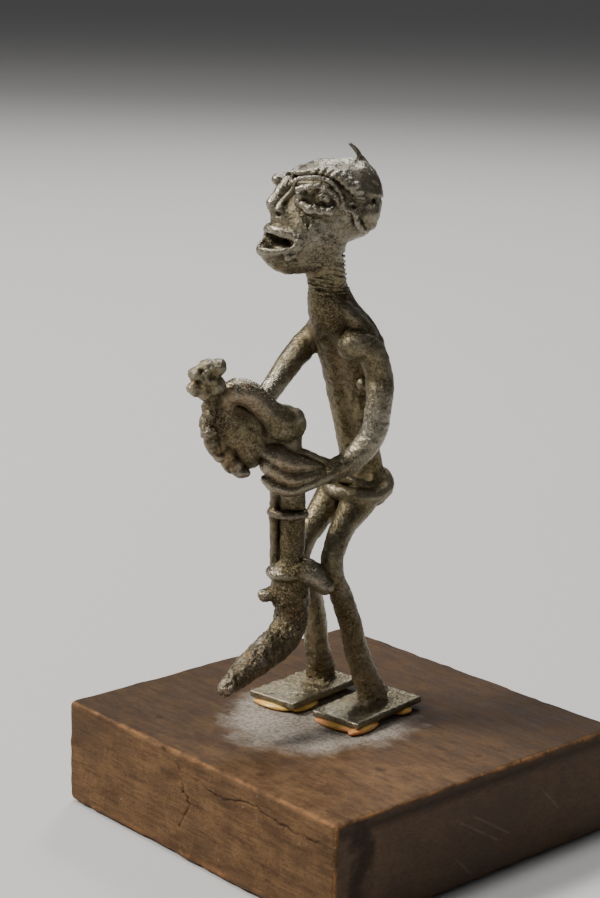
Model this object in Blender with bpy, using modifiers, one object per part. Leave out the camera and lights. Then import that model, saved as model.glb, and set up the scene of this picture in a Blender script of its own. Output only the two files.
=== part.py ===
"""A cast brass goldweight: a standing figure with a long gun, waxed to a dark wooden block.

Metres, +Z up. The origin is on the block's underside, at its centre, and the figure faces -Y.
"""

import math

import bmesh
import bpy
from mathutils import Matrix, Vector

# Wooden block
BLOCK_WIDTH = 0.046
BLOCK_DEPTH = 0.0442
BLOCK_HEIGHT = 0.0124
BLOCK_EDGE = 0.0009
BLOCK_EDGE_STEPS = 3

# Foot plates, cast in one with the figure
PLATE_WIDTH = 0.0066
PLATE_LENGTH = 0.0123
PLATE_THICKNESS = 0.0008
PLATE_SPACING = 0.0027
PLATE_EDGE = 0.00015

# Mounting wax under each plate
WAX_SPACE = 0.00065
WAX_INSET = 0.0005
WAX_LOBE = 0.0013
FIT_GAP = 0.0001

# Figure: its own frame has x to its left, y to its back, z up from under the plates
FIGURE_HEIGHT = 0.063
FIGURE_TURN = math.radians(8.65)
FIGURE_RIGHT_OF_CENTRE = 0.0023
FIGURE_BACK_OF_CENTRE = 0.00135
HEAD_TURN = math.radians(22)

# The free form is drawn in shares: sixty-thirds of the figure's height, each about a millimetre
SHARE = FIGURE_HEIGHT / 63

# Surface of the casting: voxel edge in shares, smoothing passes and share of faces kept
VOXEL = 0.3
SMOOTH_STEPS = 3
KEPT_FACES = 0.095

WELD = 1e-6


def clear_scene():
    """Remove every object that a new file holds."""
    for old in list(bpy.data.objects):
        bpy.data.objects.remove(old, do_unlink=True)


def new_collection(name):
    """Add a collection to the scene."""
    made = bpy.data.collections.new(name)
    bpy.context.scene.collection.children.link(made)
    return made


def new_material(name, colour, roughness, metallic):
    """A plain Principled material."""
    made = bpy.data.materials.new(name)
    made.use_nodes = True
    shader = made.node_tree.nodes["Principled BSDF"]
    shader.inputs["Base Color"].default_value = (*colour, 1)
    shader.inputs["Roughness"].default_value = roughness
    shader.inputs["Metallic"].default_value = metallic
    return made


def new_object(name, mesh, collection, material=None):
    """Link a mesh to a collection under a name."""
    made = bpy.data.objects.new(name, mesh)
    collection.objects.link(made)
    if material:
        mesh.materials.append(material)
    return made


def mesh_of(made):
    """The evaluated mesh of a curve object, its caps welded; the object goes away."""
    bpy.context.view_layer.update()
    graph = bpy.context.evaluated_depsgraph_get()
    mesh = bpy.data.meshes.new_from_object(made.evaluated_get(graph))
    mesh.transform(made.matrix_world)
    shell = bmesh.new()
    shell.from_mesh(mesh)
    bmesh.ops.remove_doubles(shell, verts=shell.verts, dist=WELD)
    shell.to_mesh(mesh)
    shell.free()
    bpy.data.objects.remove(made, do_unlink=True)
    return mesh


class Casting:
    """The wax model: rolled and pressed pieces, put together in one mesh, all in shares."""

    def __init__(self, collection):
        self.shell = bmesh.new()
        self.collection = collection

    def add(self, mesh):
        """Put a mesh's faces with the rest."""
        self.shell.from_mesh(mesh)
        bpy.data.meshes.remove(mesh)

    def roll(self, points, widen=1, closed=False, round_ends=2):
        """A rolled wax rod through (x, y, z, radius) points, widened along x, its first ends round."""
        curve = bpy.data.curves.new("roll", "CURVE")
        curve.dimensions = "3D"
        curve.bevel_depth = SHARE
        curve.bevel_resolution = 3
        curve.resolution_u = 5
        curve.use_fill_caps = True
        spline = curve.splines.new("BEZIER")
        spline.bezier_points.add(len(points) - 1)
        spline.use_cyclic_u = closed
        for knot, (x, y, z, radius) in zip(spline.bezier_points, points):
            knot.co = Vector((x / widen, y, z)) * SHARE
            knot.radius = radius
            knot.handle_left_type = "AUTO"
            knot.handle_right_type = "AUTO"
        rod = bpy.data.objects.new("roll", curve)
        self.collection.objects.link(rod)
        rod.scale.x = widen
        self.add(mesh_of(rod))
        if not closed:
            for x, y, z, radius in (points[0], points[-1])[:round_ends]:
                self.ball((x, y, z), (radius * widen, radius, radius))

    def ball(self, centre, radii, turn=None):
        """A pressed pellet: an ellipsoid with its half sizes, turned by a matrix about its centre."""
        place = Matrix.Translation(Vector(centre) * SHARE)
        if turn:
            place = place @ turn.to_4x4()
        place = place @ Matrix.Diagonal((*(r * SHARE for r in radii), 1))
        bmesh.ops.create_uvsphere(self.shell, u_segments=20, v_segments=12, radius=1, matrix=place)

    def to_mesh(self, name):
        """The finished mesh."""
        mesh = bpy.data.meshes.new(name)
        self.shell.to_mesh(mesh)
        self.shell.free()
        return mesh


# Head: a frame of its own, turned to the figure's right; forward, left and up from its centre
HEAD_CENTRE = Vector((0, -4.4, 57.1))
HEAD_AXES = Matrix.Rotation(-HEAD_TURN, 3, "Z") @ Matrix(((0, 1, 0), (-1, 0, 0), (0, 0, 1)))


def head_place(forward, left, up):
    """A place on the head, in the figure's frame."""
    return HEAD_CENTRE + HEAD_AXES @ Vector((forward, left, up))


def head_point(forward, left, up, radius):
    """A place on the head with a radius, for a roll."""
    return (*head_place(forward, left, up), radius)


def head_oval(casting, centre, across, tall, back, roll_radius, count=14):
    """A closed oval roll on the head, given by two half-axes; its ends lie back along the third."""
    ring = []
    for n in range(count):
        angle = math.tau * n / count
        spot = Vector(centre) + Vector(across) * math.cos(angle) + Vector(tall) * math.sin(angle)
        spot += Vector(back) * math.cos(angle) ** 2
        ring.append(head_point(*spot, roll_radius))
    casting.roll(ring, closed=True)


def add_head(casting):
    """Skull, face, nose, open mouth, eyes, ears, beaded hair line and the tuft on the crown."""
    tilt = Matrix.Rotation(math.radians(-12), 3, "Y")
    casting.ball(head_place(-0.9, 0, 1.3), (5.9, 4.3, 4.5), HEAD_AXES @ tilt)
    casting.ball(head_place(2.0, 0, -1.2), (4.1, 3.6, 5.0), HEAD_AXES)
    casting.ball(head_place(4.5, 0, -4.2), (2.6, 2.15, 2.05), HEAD_AXES)
    casting.ball(head_place(6.15, 0, -4.2), (1.35, 1.75, 0.95), HEAD_AXES)
    casting.ball(head_place(5.4, 0, -2.5), (1.6, 2.4, 1.6), HEAD_AXES)
    casting.roll([head_point(*p) for p in ((4.7, 0, 3.6, 0.6), (5.9, 0, 2.3, 0.7), (6.6, 0, 1.5, 0.75))])
    casting.ball(head_place(5.9, 0, 0.8), (0.9, 0.75, 0.8), HEAD_AXES)
    head_oval(casting, (7.0, 0, -2.55), (0, 2.55, 0), (-0.5, 0, 1.2), (-1.7, 0, 0), 0.65)
    for side in (1, -1):
        casting.ball(head_place(6.1, 0.75 * side, 0.95), (0.6, 0.55, 0.5), HEAD_AXES)
        add_eye(casting, side)
        casting.ball(head_place(-3.2, 3.6 * side, 0.1), (1.4, 1.15, 1.6), HEAD_AXES)
        add_hair_line(casting, side)
    tuft = ((-5.1, 0, 4.2, 0.7), (-4.4, 0, 5.6, 0.5), (-3.8, 0, 6.7, 0.38), (-2.9, 0, 8.0, 0.28))
    casting.roll([head_point(*p) for p in tuft])


def add_eye(casting, side):
    """A raised almond rim round a coiled eyeball, under a thin brow roll."""
    across = (-1.6, 0.8 * side, -0.6)
    head_oval(casting, (3.1, 3.2 * side, 2.5), across, (0, 0, 1.35), (-0.3, -0.2 * side, 0), 0.45)
    casting.ball(head_place(2.7, 3.3 * side, 2.6), (0.8, 0.8, 0.8))
    brow = ((4.5, 1.3, 4.0, 0.35), (3.1, 2.7, 4.4, 0.4), (1.0, 3.8, 3.7, 0.4), (0.0, 4.2, 2.2, 0.3))
    casting.roll([head_point(f, side * l, u, r) for f, l, u, r in brow])


def add_hair_line(casting, side, count=10):
    """Beads pressed along the edge of the hair, growing toward the ear."""
    start = (4.3, 0.3, 3.9)
    bend = (0.9, 2.6, 6.4)
    end = (-2.0, 4.3, 2.4)
    for n in range(count):
        t = n / (count - 1)
        weights = ((1 - t) ** 2, 2 * t * (1 - t), t * t)
        f, l, u = (sum(w * p[i] for w, p in zip(weights, (start, bend, end))) for i in range(3))
        size = 0.45 + 0.25 * t
        casting.ball(head_place(f, l * side, u), (size, size, size))


def add_trunk(casting):
    """Neck, flat slender trunk, sloping shoulders, hips and the knob on the chest."""
    neck = ((0, -4.6, 53.5, 2.3), (0, -3.9, 50.5, 2.2), (0, -3.5, 48.9, 2.25), (0, -3.0, 46.4, 2.5),
            (0, -1.8, 44.2, 2.4))
    casting.roll(neck)
    casting.roll(((1.3, -4.3, 48.2, 0.7), (2.9, -3.2, 46.3, 0.95), (4.5, -2.0, 44.0, 1.1)))
    trunk = ((0, -1.4, 43.8, 1.7), (0, -0.2, 40.5, 1.7), (0, 1.6, 34.8, 1.6), (0, 3.3, 28.8, 1.45),
             (0, 3.9, 24.8, 1.5))
    casting.roll(trunk, widen=2)
    for side, back in ((1, 0), (-1, 0.7)):
        slope = ((0.5 * side, -2.9, 47.6, 1.6), (2.4 * side, back - 1.7, 45.4, 1.5),
                 (4.2 * side, back - 0.8, 42.8, 1.5))
        casting.roll(slope)
    casting.ball((3.0, -0.9, 38.2), (0.6, 0.6, 0.75))
    casting.ball((0, 3.4, 24.6), (3.5, 2.4, 1.9))


def add_loincloth(casting, count=14):
    """A rolled band round the hips, and two rolls across its front that run up over the near hip."""
    band = []
    for n in range(count):
        angle = math.tau * n / count
        x = 3.2 * math.cos(angle)
        y = 3.4 + 2.2 * math.sin(angle)
        band.append((x, y, 25.4 - 0.1 * x, 0.85))
    casting.roll(band, closed=True)
    lower = ((-2.6, 0.6, 25.3, 0.6), (-0.7, -0.7, 25.4, 0.85), (1.4, -0.7, 25.2, 0.95),
             (2.7, -0.1, 25.1, 0.95), (3.4, 1.2, 25.0, 0.9), (3.7, 2.7, 25.3, 0.95), (3.3, 3.8, 26.1, 1.0),
             (2.6, 4.3, 26.9, 0.85))
    casting.roll(lower)
    upper = ((-2.4, 1.2, 26.2, 0.4), (-1.3, 0.0, 26.4, 0.5), (0.3, 0.1, 26.7, 0.6), (1.7, 0.6, 26.4, 0.6),
             (2.7, 1.7, 26.1, 0.55), (3.0, 3.0, 26.3, 0.5))
    casting.roll(upper)
    casting.ball((2.2, 3.6, 26.6), (1.3, 1.5, 1.2))


def add_arms(casting):
    """The far arm is a straight tube to the flask; the near arm is a long roll laid on the chest."""
    right = ((-3.9, 0.4, 43.6, 1.5), (-4.6, -1.6, 41.9, 1.5), (-5.0, -6.0, 38.3, 1.3),
             (-5.0, -10.4, 34.4, 1.2))
    casting.roll(right)
    left = ((3.3, -3.6, 43.0, 1.4), (3.8, -3.4, 43.2, 1.7), (4.9, -2.3, 42.6, 1.65), (5.5, -1.2, 40.0, 1.6),
            (6.3, -1.9, 36.8, 1.5), (6.1, -2.7, 33.4, 1.45), (4.9, -4.2, 30.7, 1.45), (2.9, -6.2, 29.0, 1.3))
    casting.roll(left)


def add_hands(casting):
    """The near hand wraps the barrel with a thumb and three fingers; the far one holds the flask."""
    casting.ball((0.2, -8.4, 29.6), (1.6, 1.9, 1.8))
    casting.ball((-1.3, -10.1, 29.7), (1.3, 1.2, 1.6))
    first = ((-1.4, -12.0, 31.7, 0.8), (-0.4, -11.3, 31.2, 1.2), (0.6, -10.3, 30.5, 1.2),
             (1.6, -8.9, 30.0, 0.9), (2.6, -7.3, 29.8, 0.45))
    second = ((-0.9, -11.9, 30.2, 1.05), (-0.1, -11.5, 29.4, 0.9), (0.9, -10.7, 28.7, 0.75),
              (2.0, -9.1, 28.7, 0.65), (2.9, -7.5, 29.3, 0.5))
    third = ((-1.2, -11.9, 28.5, 0.65), (-0.2, -11.7, 27.8, 0.7), (0.9, -10.6, 27.4, 0.65),
             (2.1, -9.0, 27.8, 0.65), (3.2, -7.3, 28.8, 0.7), (3.9, -6.1, 29.6, 0.7))
    thumb = ((-0.45, -9.6, 32.1, 0.45), (0.75, -8.6, 31.5, 0.45), (1.8, -7.6, 30.85, 0.48),
             (2.85, -6.4, 30.2, 0.5))
    for finger in (first, second, third, thumb):
        casting.roll(finger)
    for centre, radii in (((-3.7, -15.7, 31.4), (0.85, 0.95, 1.45)), ((-3.1, -14.8, 30.3), (0.8, 0.85, 0.9)),
                          ((-2.9, -14.2, 29.5), (1.1, 0.95, 0.75)),
                          ((-4.2, -14.4, 30.0), (0.95, 0.95, 0.95))):
        casting.ball(centre, radii)


def add_legs(casting):
    """Each leg bends at the knee and runs down to the middle of its plate."""
    spread = (PLATE_WIDTH + PLATE_SPACING) / 2 / SHARE
    foot = PLATE_THICKNESS / 2 / SHARE
    for side, knee_y, ankle_y, bow in ((1, -4.6, 0.9, 0), (-1, -4.2, 2.9, 0.9)):
        hip = Vector((1.8 * side, 0.9, 24.3))
        thigh = Vector((2.0 * side, -2.0, 22.0))
        knee = Vector((2.5 * side, knee_y, 18.8))
        ankle = Vector((spread * side, ankle_y, foot))
        shin = knee.lerp(ankle, 0.42) + Vector((0, bow, 0))
        calf = knee.lerp(ankle, 0.75) + Vector((0, bow / 2, 0))
        leg = ((*hip, 2.0), (*thigh, 1.5), (*knee, 1.3), (*shin, 1.3), (*calf, 1.45), (*ankle, 1.7))
        casting.roll(leg, round_ends=1)


def add_gun(casting):
    """Barrel with its ramrod, two bands, the lock, a trigger knob and the curved stock."""
    barrel = ((-0.85, -9.5, 34.8, 1.8), (-0.75, -9.1, 31.0, 1.65), (-0.4, -8.5, 26.0, 1.45),
              (-0.5, -8.2, 16.5, 1.5))
    casting.roll(barrel)
    casting.roll(((-1.9, -9.8, 28.0, 0.55), (-1.9, -9.5, 17.0, 0.55)))
    for height, x in ((24.2, -0.8), (17.2, -0.9)):
        ring = []
        for n in range(12):
            angle = math.tau * n / 12
            ring.append((x + 1.9 * math.cos(angle), -8.7 + 1.5 * math.sin(angle), height, 0.55))
        casting.roll(ring, closed=True)
    casting.roll(((-0.6, -8.2, 17.6, 1.9), (1.6, -7.3, 17.3, 1.5), (3.0, -6.5, 15.9, 1.0)))
    casting.ball((-2.6, -10.4, 14.6), (0.75, 0.75, 0.8))
    stock = ((-0.7, -8.4, 17.0, 1.9), (-0.7, -8.0, 14.6, 2.1), (-0.75, -7.7, 12.6, 1.95),
             (-0.8, -8.0, 10.9, 2.0), (-0.9, -9.3, 9.6, 1.9), (-1.0, -11.9, 8.4, 1.8),
             (-1.2, -15.3, 7.1, 1.5), (-1.35, -18.0, 5.9, 0.95))
    casting.roll(stock)


def add_flask(casting):
    """The pear-shaped flask, its bent neck over the muzzle, and the lump and strand beside it."""
    casting.ball((-3.75, -12.5, 32.8), (2.5, 2.55, 3.4))
    casting.ball((-3.5, -13.1, 34.9), (2.0, 2.0, 2.1))
    casting.roll(((-4.0, -15.2, 33.4, 0.8), (-4.15, -15.9, 35.2, 0.95), (-4.0, -16.0, 36.9, 1.05)))
    neck = ((-4.0, -16.0, 36.6, 1.0), (-3.5, -15.8, 38.2, 1.25), (-2.8, -15.2, 38.6, 1.45),
            (-2.1, -14.3, 38.3, 1.5), (-1.45, -13.4, 37.5, 1.42), (-0.95, -12.6, 36.6, 1.38),
            (-0.5, -11.9, 35.6, 1.4), (-0.3, -10.9, 34.5, 1.5))
    casting.roll(neck)
    knobs = ((-0.3, -10.6, 34.3, 1.8), (0.75, -9.7, 35.4, 1.1), (-0.1, -11.1, 35.7, 1.25),
             (0.1, -8.9, 34.4, 1.3), (-1.6, -11.0, 32.7, 1.1))
    lump = ((-3.1, -18.1, 41.6, 0.95), (-3.7, -19.0, 41.5, 1.05), (-4.3, -20.0, 40.9, 0.95),
            (-3.9, -19.0, 40.4, 1.3), (-4.5, -20.2, 39.4, 0.85), (-4.1, -19.2, 39.0, 0.95),
            (-3.3, -18.1, 39.6, 1.05), (-4.3, -17.9, 38.9, 0.9))
    for x, y, z, size in knobs + lump:
        casting.ball((x, y, z), (size, size, size))
    casting.roll(((-4.4, -16.9, 37.5, 0.7), (-4.5, -16.9, 34.5, 0.8), (-4.2, -16.0, 32.2, 0.8)))
    strand = ((-4.4, -17.7, 38.4, 0.85), (-4.55, -17.8, 36.5, 0.8), (-4.6, -18.0, 35.2, 0.85),
              (-4.5, -17.6, 33.9, 0.85), (-4.45, -17.0, 32.4, 0.8), (-4.2, -16.4, 31.4, 0.7))
    casting.roll(strand)


def add_modifier(made, name, kind, **values):
    """Add a modifier and set its values."""
    modifier = made.modifiers.new(name, kind)
    for key, value in values.items():
        setattr(modifier, key, value)
    return modifier


def make_guide(name, mesh, collection):
    """A solid that a Boolean uses and that is no part of the object itself."""
    guide = new_object(name, mesh, collection)
    guide.hide_render = True
    guide.display_type = "WIRE"
    return guide


def box_mesh(name, size, edge=0, steps=1):
    """A box centred on the origin, its edges rounded."""
    shell = bmesh.new()
    bmesh.ops.create_cube(shell, size=1, matrix=Matrix.Diagonal((*size, 1)))
    if edge:
        bmesh.ops.bevel(shell, geom=shell.edges[:], offset=edge, segments=steps, profile=0.5, affect="EDGES")
    mesh = bpy.data.meshes.new(name)
    shell.to_mesh(mesh)
    shell.free()
    return mesh


def plate_centre(side):
    """Middle of a foot plate's underside, in the figure's frame."""
    return Vector((side * (PLATE_WIDTH + PLATE_SPACING) / 2, 0, 0))


def figure_place():
    """From the figure's frame to the block's."""
    spot = Vector((-FIGURE_RIGHT_OF_CENTRE, FIGURE_BACK_OF_CENTRE, BLOCK_HEIGHT + WAX_SPACE))
    return Matrix.Translation(spot) @ Matrix.Rotation(FIGURE_TURN, 4, "Z")


def mouth_mesh():
    """The hollow between the lips."""
    shell = bmesh.new()
    place = Matrix.Translation(head_place(7.4, 0, -2.4) * SHARE) @ HEAD_AXES.to_4x4()
    place = place @ Matrix.Diagonal((2.5 * SHARE, 1.8 * SHARE, 0.95 * SHARE, 1))
    bmesh.ops.create_uvsphere(shell, u_segments=16, v_segments=10, radius=1, matrix=place)
    mesh = bpy.data.meshes.new("mouth_hollow")
    shell.to_mesh(mesh)
    shell.free()
    return mesh


def make_figure(parts, guides):
    """One casting: the joined wax model, its surface closed and smoothed, on two foot plates."""
    casting = Casting(guides)
    for add in (add_head, add_trunk, add_loincloth, add_arms, add_hands, add_legs, add_gun, add_flask):
        add(casting)
    brass = new_material("aged_brass", (0.17, 0.14, 0.10), 0.5, 0.85)
    figure = new_object("brass_figure", casting.to_mesh("brass_figure"), parts, brass)
    figure.matrix_world = figure_place()
    mouth = make_guide("mouth_hollow", mouth_mesh(), guides)
    mouth.matrix_world = figure_place()
    add_modifier(figure, "Surface", "REMESH", mode="VOXEL", voxel_size=VOXEL * SHARE, use_smooth_shade=True)
    add_modifier(figure, "Mouth", "BOOLEAN", operation="DIFFERENCE", object=mouth)
    add_modifier(figure, "Smooth", "SMOOTH", factor=0.4, iterations=SMOOTH_STEPS)
    add_modifier(figure, "Fewer faces", "DECIMATE", ratio=KEPT_FACES)
    for side, name in ((1, "plate_left"), (-1, "plate_right")):
        size = (PLATE_WIDTH, PLATE_LENGTH, PLATE_THICKNESS)
        plate = make_guide(name, box_mesh(name, size, PLATE_EDGE), guides)
        spot = plate_centre(side) + Vector((0, 0, PLATE_THICKNESS / 2))
        plate.matrix_world = figure_place() @ Matrix.Translation(spot)
        add_modifier(figure, name, "BOOLEAN", operation="UNION", object=plate)
    return figure


def make_block(parts):
    """The dark wooden block with its worn edges."""
    wood = new_material("dark_wood", (0.10, 0.06, 0.04), 0.55, 0)
    size = (BLOCK_WIDTH, BLOCK_DEPTH, BLOCK_HEIGHT)
    block = new_object("wooden_block", box_mesh("wooden_block", size), parts, wood)
    block.location = (0, 0, BLOCK_HEIGHT / 2)
    add_modifier(block, "Worn edges", "BEVEL", width=BLOCK_EDGE, segments=BLOCK_EDGE_STEPS)
    return block


def wax_outline(lobes, count=48):
    """The pad's edge: a rounded oblong just inside the plate, pushed out in lobes past its edge."""
    half_width = PLATE_WIDTH / 2 - WAX_INSET
    half_length = PLATE_LENGTH / 2 - WAX_INSET
    for n in range(count):
        angle = math.tau * n / count
        across = math.copysign(abs(math.cos(angle)) ** 0.4, math.cos(angle))
        along = math.copysign(abs(math.sin(angle)) ** 0.4, math.sin(angle))
        push = 0
        for heading, spread in lobes:
            off = (angle - math.radians(heading) + math.pi) % math.tau - math.pi
            push += WAX_LOBE * math.exp(-((off / math.radians(spread)) ** 2))
        way = Vector((math.cos(angle), math.sin(angle)))
        yield Vector((half_width * across, half_length * along)) + way * push


def make_wax(parts, name, side, lobes):
    """A pad of amber wax between a foot plate and the block."""
    edge = (WAX_SPACE - 2 * FIT_GAP) / 2
    curve = bpy.data.curves.new(name, "CURVE")
    curve.dimensions = "2D"
    curve.fill_mode = "BOTH"
    curve.extrude = edge / 2
    curve.bevel_depth = edge / 2
    curve.bevel_resolution = 1
    curve.offset = -edge / 2
    spline = curve.splines.new("POLY")
    outline = list(wax_outline(lobes))
    spline.points.add(len(outline) - 1)
    for point, spot in zip(spline.points, outline):
        point.co = (spot.x, spot.y, 0, 1)
    spline.use_cyclic_u = True
    flat = bpy.data.objects.new(name, curve)
    parts.objects.link(flat)
    wax = new_material(name, (0.75, 0.42, 0.12), 0.35, 0)
    pad = new_object(name, mesh_of(flat), parts, wax)
    spot = plate_centre(side) - Vector((0, 0, WAX_SPACE / 2))
    pad.matrix_world = figure_place() @ Matrix.Translation(spot)
    return pad


def main():
    """Make every sub-part."""
    clear_scene()
    parts = new_collection("goldweight_figure")
    guides = new_collection("cutters")
    make_figure(parts, guides)
    make_block(parts)
    make_wax(parts, "wax_left", 1, ((-125, 22), (-60, 26), (8, 16)))
    make_wax(parts, "wax_right", -1, ((-120, 24), (-55, 18), (150, 16)))


main()
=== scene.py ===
"""Looks of the goldweight figure: a cast brass man with a long gun, waxed to a worn wooden block.

The casting is modelled again the way its founder made it, from rolled and pressed wax. Its rolls and
pellets blend on a fine grid of distances, and the grid's zero level becomes the mesh.
"""

import math
from itertools import product

import bmesh
import bpy
import numpy as np
from mathutils import Matrix, Vector


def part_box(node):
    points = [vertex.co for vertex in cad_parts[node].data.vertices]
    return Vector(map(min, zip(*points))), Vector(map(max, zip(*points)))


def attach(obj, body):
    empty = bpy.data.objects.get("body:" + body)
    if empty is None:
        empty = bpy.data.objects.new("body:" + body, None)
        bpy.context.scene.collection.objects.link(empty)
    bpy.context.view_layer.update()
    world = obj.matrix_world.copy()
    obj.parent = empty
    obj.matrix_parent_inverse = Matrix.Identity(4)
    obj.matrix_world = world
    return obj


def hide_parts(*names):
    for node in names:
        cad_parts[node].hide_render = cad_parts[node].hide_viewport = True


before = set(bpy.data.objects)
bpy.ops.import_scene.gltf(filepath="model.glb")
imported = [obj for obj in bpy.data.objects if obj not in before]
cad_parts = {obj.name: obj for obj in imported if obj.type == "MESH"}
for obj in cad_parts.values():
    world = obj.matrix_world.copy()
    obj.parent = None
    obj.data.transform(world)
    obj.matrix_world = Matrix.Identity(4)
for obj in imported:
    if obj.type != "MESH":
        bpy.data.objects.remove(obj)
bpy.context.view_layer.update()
block_low, block_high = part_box("wooden_block")
figure_low, figure_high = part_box("brass_figure")

# Driving sizes, in metres and radians
FIGURE_HEIGHT = 0.063
FIGURE_TURN = math.radians(8.65)
FIGURE_RIGHT_OF_CENTRE = 0.0023
FIGURE_BACK_OF_CENTRE = 0.00135
HEAD_TURN = math.radians(22)
BLOCK_EDGE = 0.0007

# The figure is drawn in shares, sixty-thirds of its height, in its own frame:
# x to its left, y to its back, z up from under its foot plates
SHARE = FIGURE_HEIGHT / 63
PLATE_HALF = (3.3, 6.15, 0.4)
PLATE_ASIDE = 4.65
FIGURE_PLACE = Matrix.Translation((-FIGURE_RIGHT_OF_CENTRE, FIGURE_BACK_OF_CENTRE, figure_low.z))
FIGURE_PLACE = FIGURE_PLACE @ Matrix.Rotation(FIGURE_TURN, 4, "Z")

# Grids, in shares: cells of the casting and of the wax pads, cells along a chunk, and the casting's box
CASTING_CELL = 0.12
PAD_CELL = 0.07
CHUNK = 8
CASTING_LOW = np.array((-9.5, -21.5, -0.8))
CASTING_HIGH = np.array((9.5, 8.5, 65.6))
# How far round a chunk's middle the surface is looked for, in half diagonals: roughly, then closely
ROUGH_SEARCH = 1.4
CLOSE_SEARCH = 1.3
FAR = 1000.0
MOST_TRIANGLES = 196000


def clamp(values):
    """Numbers held between 0 and 1."""
    return np.clip(values, 0, 1)


def smooth_min(a, b, blend):
    """The lesser of two distances, rounded where they are alike."""
    overlap = np.maximum(blend - np.abs(a - b), 0) / blend
    return np.minimum(a, b) - overlap * overlap * (blend / 4)


def smooth_path(points, closed=False, step=0.45):
    """Rows about a step apart along a smooth curve through rows that start with a place."""
    knots = np.array(points, float)
    if closed:
        knots = np.vstack([knots[-1:], knots, knots[:2]])
    else:
        knots = np.vstack([2 * knots[0] - knots[1], knots, 2 * knots[-1] - knots[-2]])
    spans = np.linalg.norm(np.diff(knots[:, :3], axis=0), axis=1) + 1e-9
    slopes = np.diff(knots, axis=0) / spans[:, None]
    shares = (spans[:-1] / (spans[:-1] + spans[1:]))[:, None]
    tangents = slopes[:-1] * (1 - shares) + slopes[1:] * shares
    rows = []
    for n in range(1, len(knots) - 2):
        count = max(1, round(spans[n] / step))
        t = (np.arange(count) / count)[:, None]
        start, end = knots[n], knots[n + 1]
        rise, fall = tangents[n - 1] * spans[n], tangents[n] * spans[n]
        rows.append(
            start * (2 * t**3 - 3 * t**2 + 1) + rise * (t**3 - 2 * t**2 + t)
            + end * (3 * t**2 - 2 * t**3) + fall * (t**3 - t**2)
        )
    rows.append(knots[-2:-1] if not closed else knots[1:2])
    return np.vstack(rows)


class Roll:
    """A rod of rolled wax through (x, y, z, radius) points, widened along one axis if asked."""

    def __init__(self, points, closed=False, wide=1, axis=(1, 0, 0), step=0.45):
        path = smooth_path(points, closed, step)
        axis = np.array(axis, float) / np.linalg.norm(axis)
        self.squeeze = np.eye(3) - (1 - 1 / wide) * np.outer(axis, axis)
        self.places = path[:, :3] @ self.squeeze
        self.radii = path[:, 3]

    def measure(self, centres, offsets, reach):
        """Which chunks are near, and the distance at each of their samples."""
        centres = centres @ self.squeeze
        offsets = (offsets @ self.squeeze).astype(np.float32)
        low = self.places.min(0) - self.radii.max() - reach
        high = self.places.max(0) + self.radii.max() + reach
        near = np.flatnonzero(((centres > low) & (centres < high)).all(1))
        found = np.full((len(near), len(offsets)), FAR, np.float32)
        for n, (start, end) in enumerate(zip(self.places[:-1], self.places[1:])):
            first, last = self.radii[n], self.radii[n + 1]
            way = end - start
            length = max(np.linalg.norm(way), 1e-6)
            gap = np.linalg.norm(centres[near] - (start + end) / 2, axis=1)
            rows = np.flatnonzero(gap < length / 2 + max(first, last) + reach)
            if len(rows):
                spots = (centres[near[rows]] - start).astype(np.float32)[:, None] + offsets
                along = clamp(spots @ (way / length**2).astype(np.float32))
                spots -= along[..., None] * way.astype(np.float32)
                gaps = np.sqrt(np.einsum("abc,abc->ab", spots, spots)) - (first + along * (last - first))
                found[rows] = np.minimum(found[rows], gaps)
        return near, found


class Pellet:
    """A pressed pellet: an ellipsoid with its half sizes along three axes, the columns of a matrix."""

    def __init__(self, centre, radii, axes=None):
        self.centre = np.array(centre, float)
        self.radii = np.array(radii, float) * np.ones(3)
        self.axes = np.eye(3) if axes is None else np.array(axes, float)

    def local(self, centres, offsets, reach):
        """Which chunks are near, and their samples in the piece's own axes."""
        gap = np.linalg.norm(centres - self.centre, axis=1)
        near = np.flatnonzero(gap < np.linalg.norm(self.radii) + reach)
        spots = (centres[near] - self.centre)[:, None] + offsets
        return near, (spots @ self.axes).astype(np.float32)

    def measure(self, centres, offsets, reach):
        """Which chunks are near, and the distance at each of their samples."""
        near, spots = self.local(centres, offsets, reach)
        nearness = np.maximum(np.linalg.norm(spots / self.radii, axis=2), 1e-6)
        slope = np.maximum(np.linalg.norm(spots / self.radii**2, axis=2), 1e-6)
        return near, (nearness * (nearness - 1) / slope).astype(np.float32)


class Slab(Pellet):
    """A flat plate with rounded edges."""

    edge = 0.15

    def measure(self, centres, offsets, reach):
        """The same as a pellet's."""
        near, spots = self.local(centres, offsets, reach)
        past = np.abs(spots) - (self.radii - self.edge)
        outside = np.linalg.norm(np.maximum(past, 0), axis=2)
        return near, (outside + np.minimum(past.max(2), 0) - self.edge).astype(np.float32)


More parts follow.
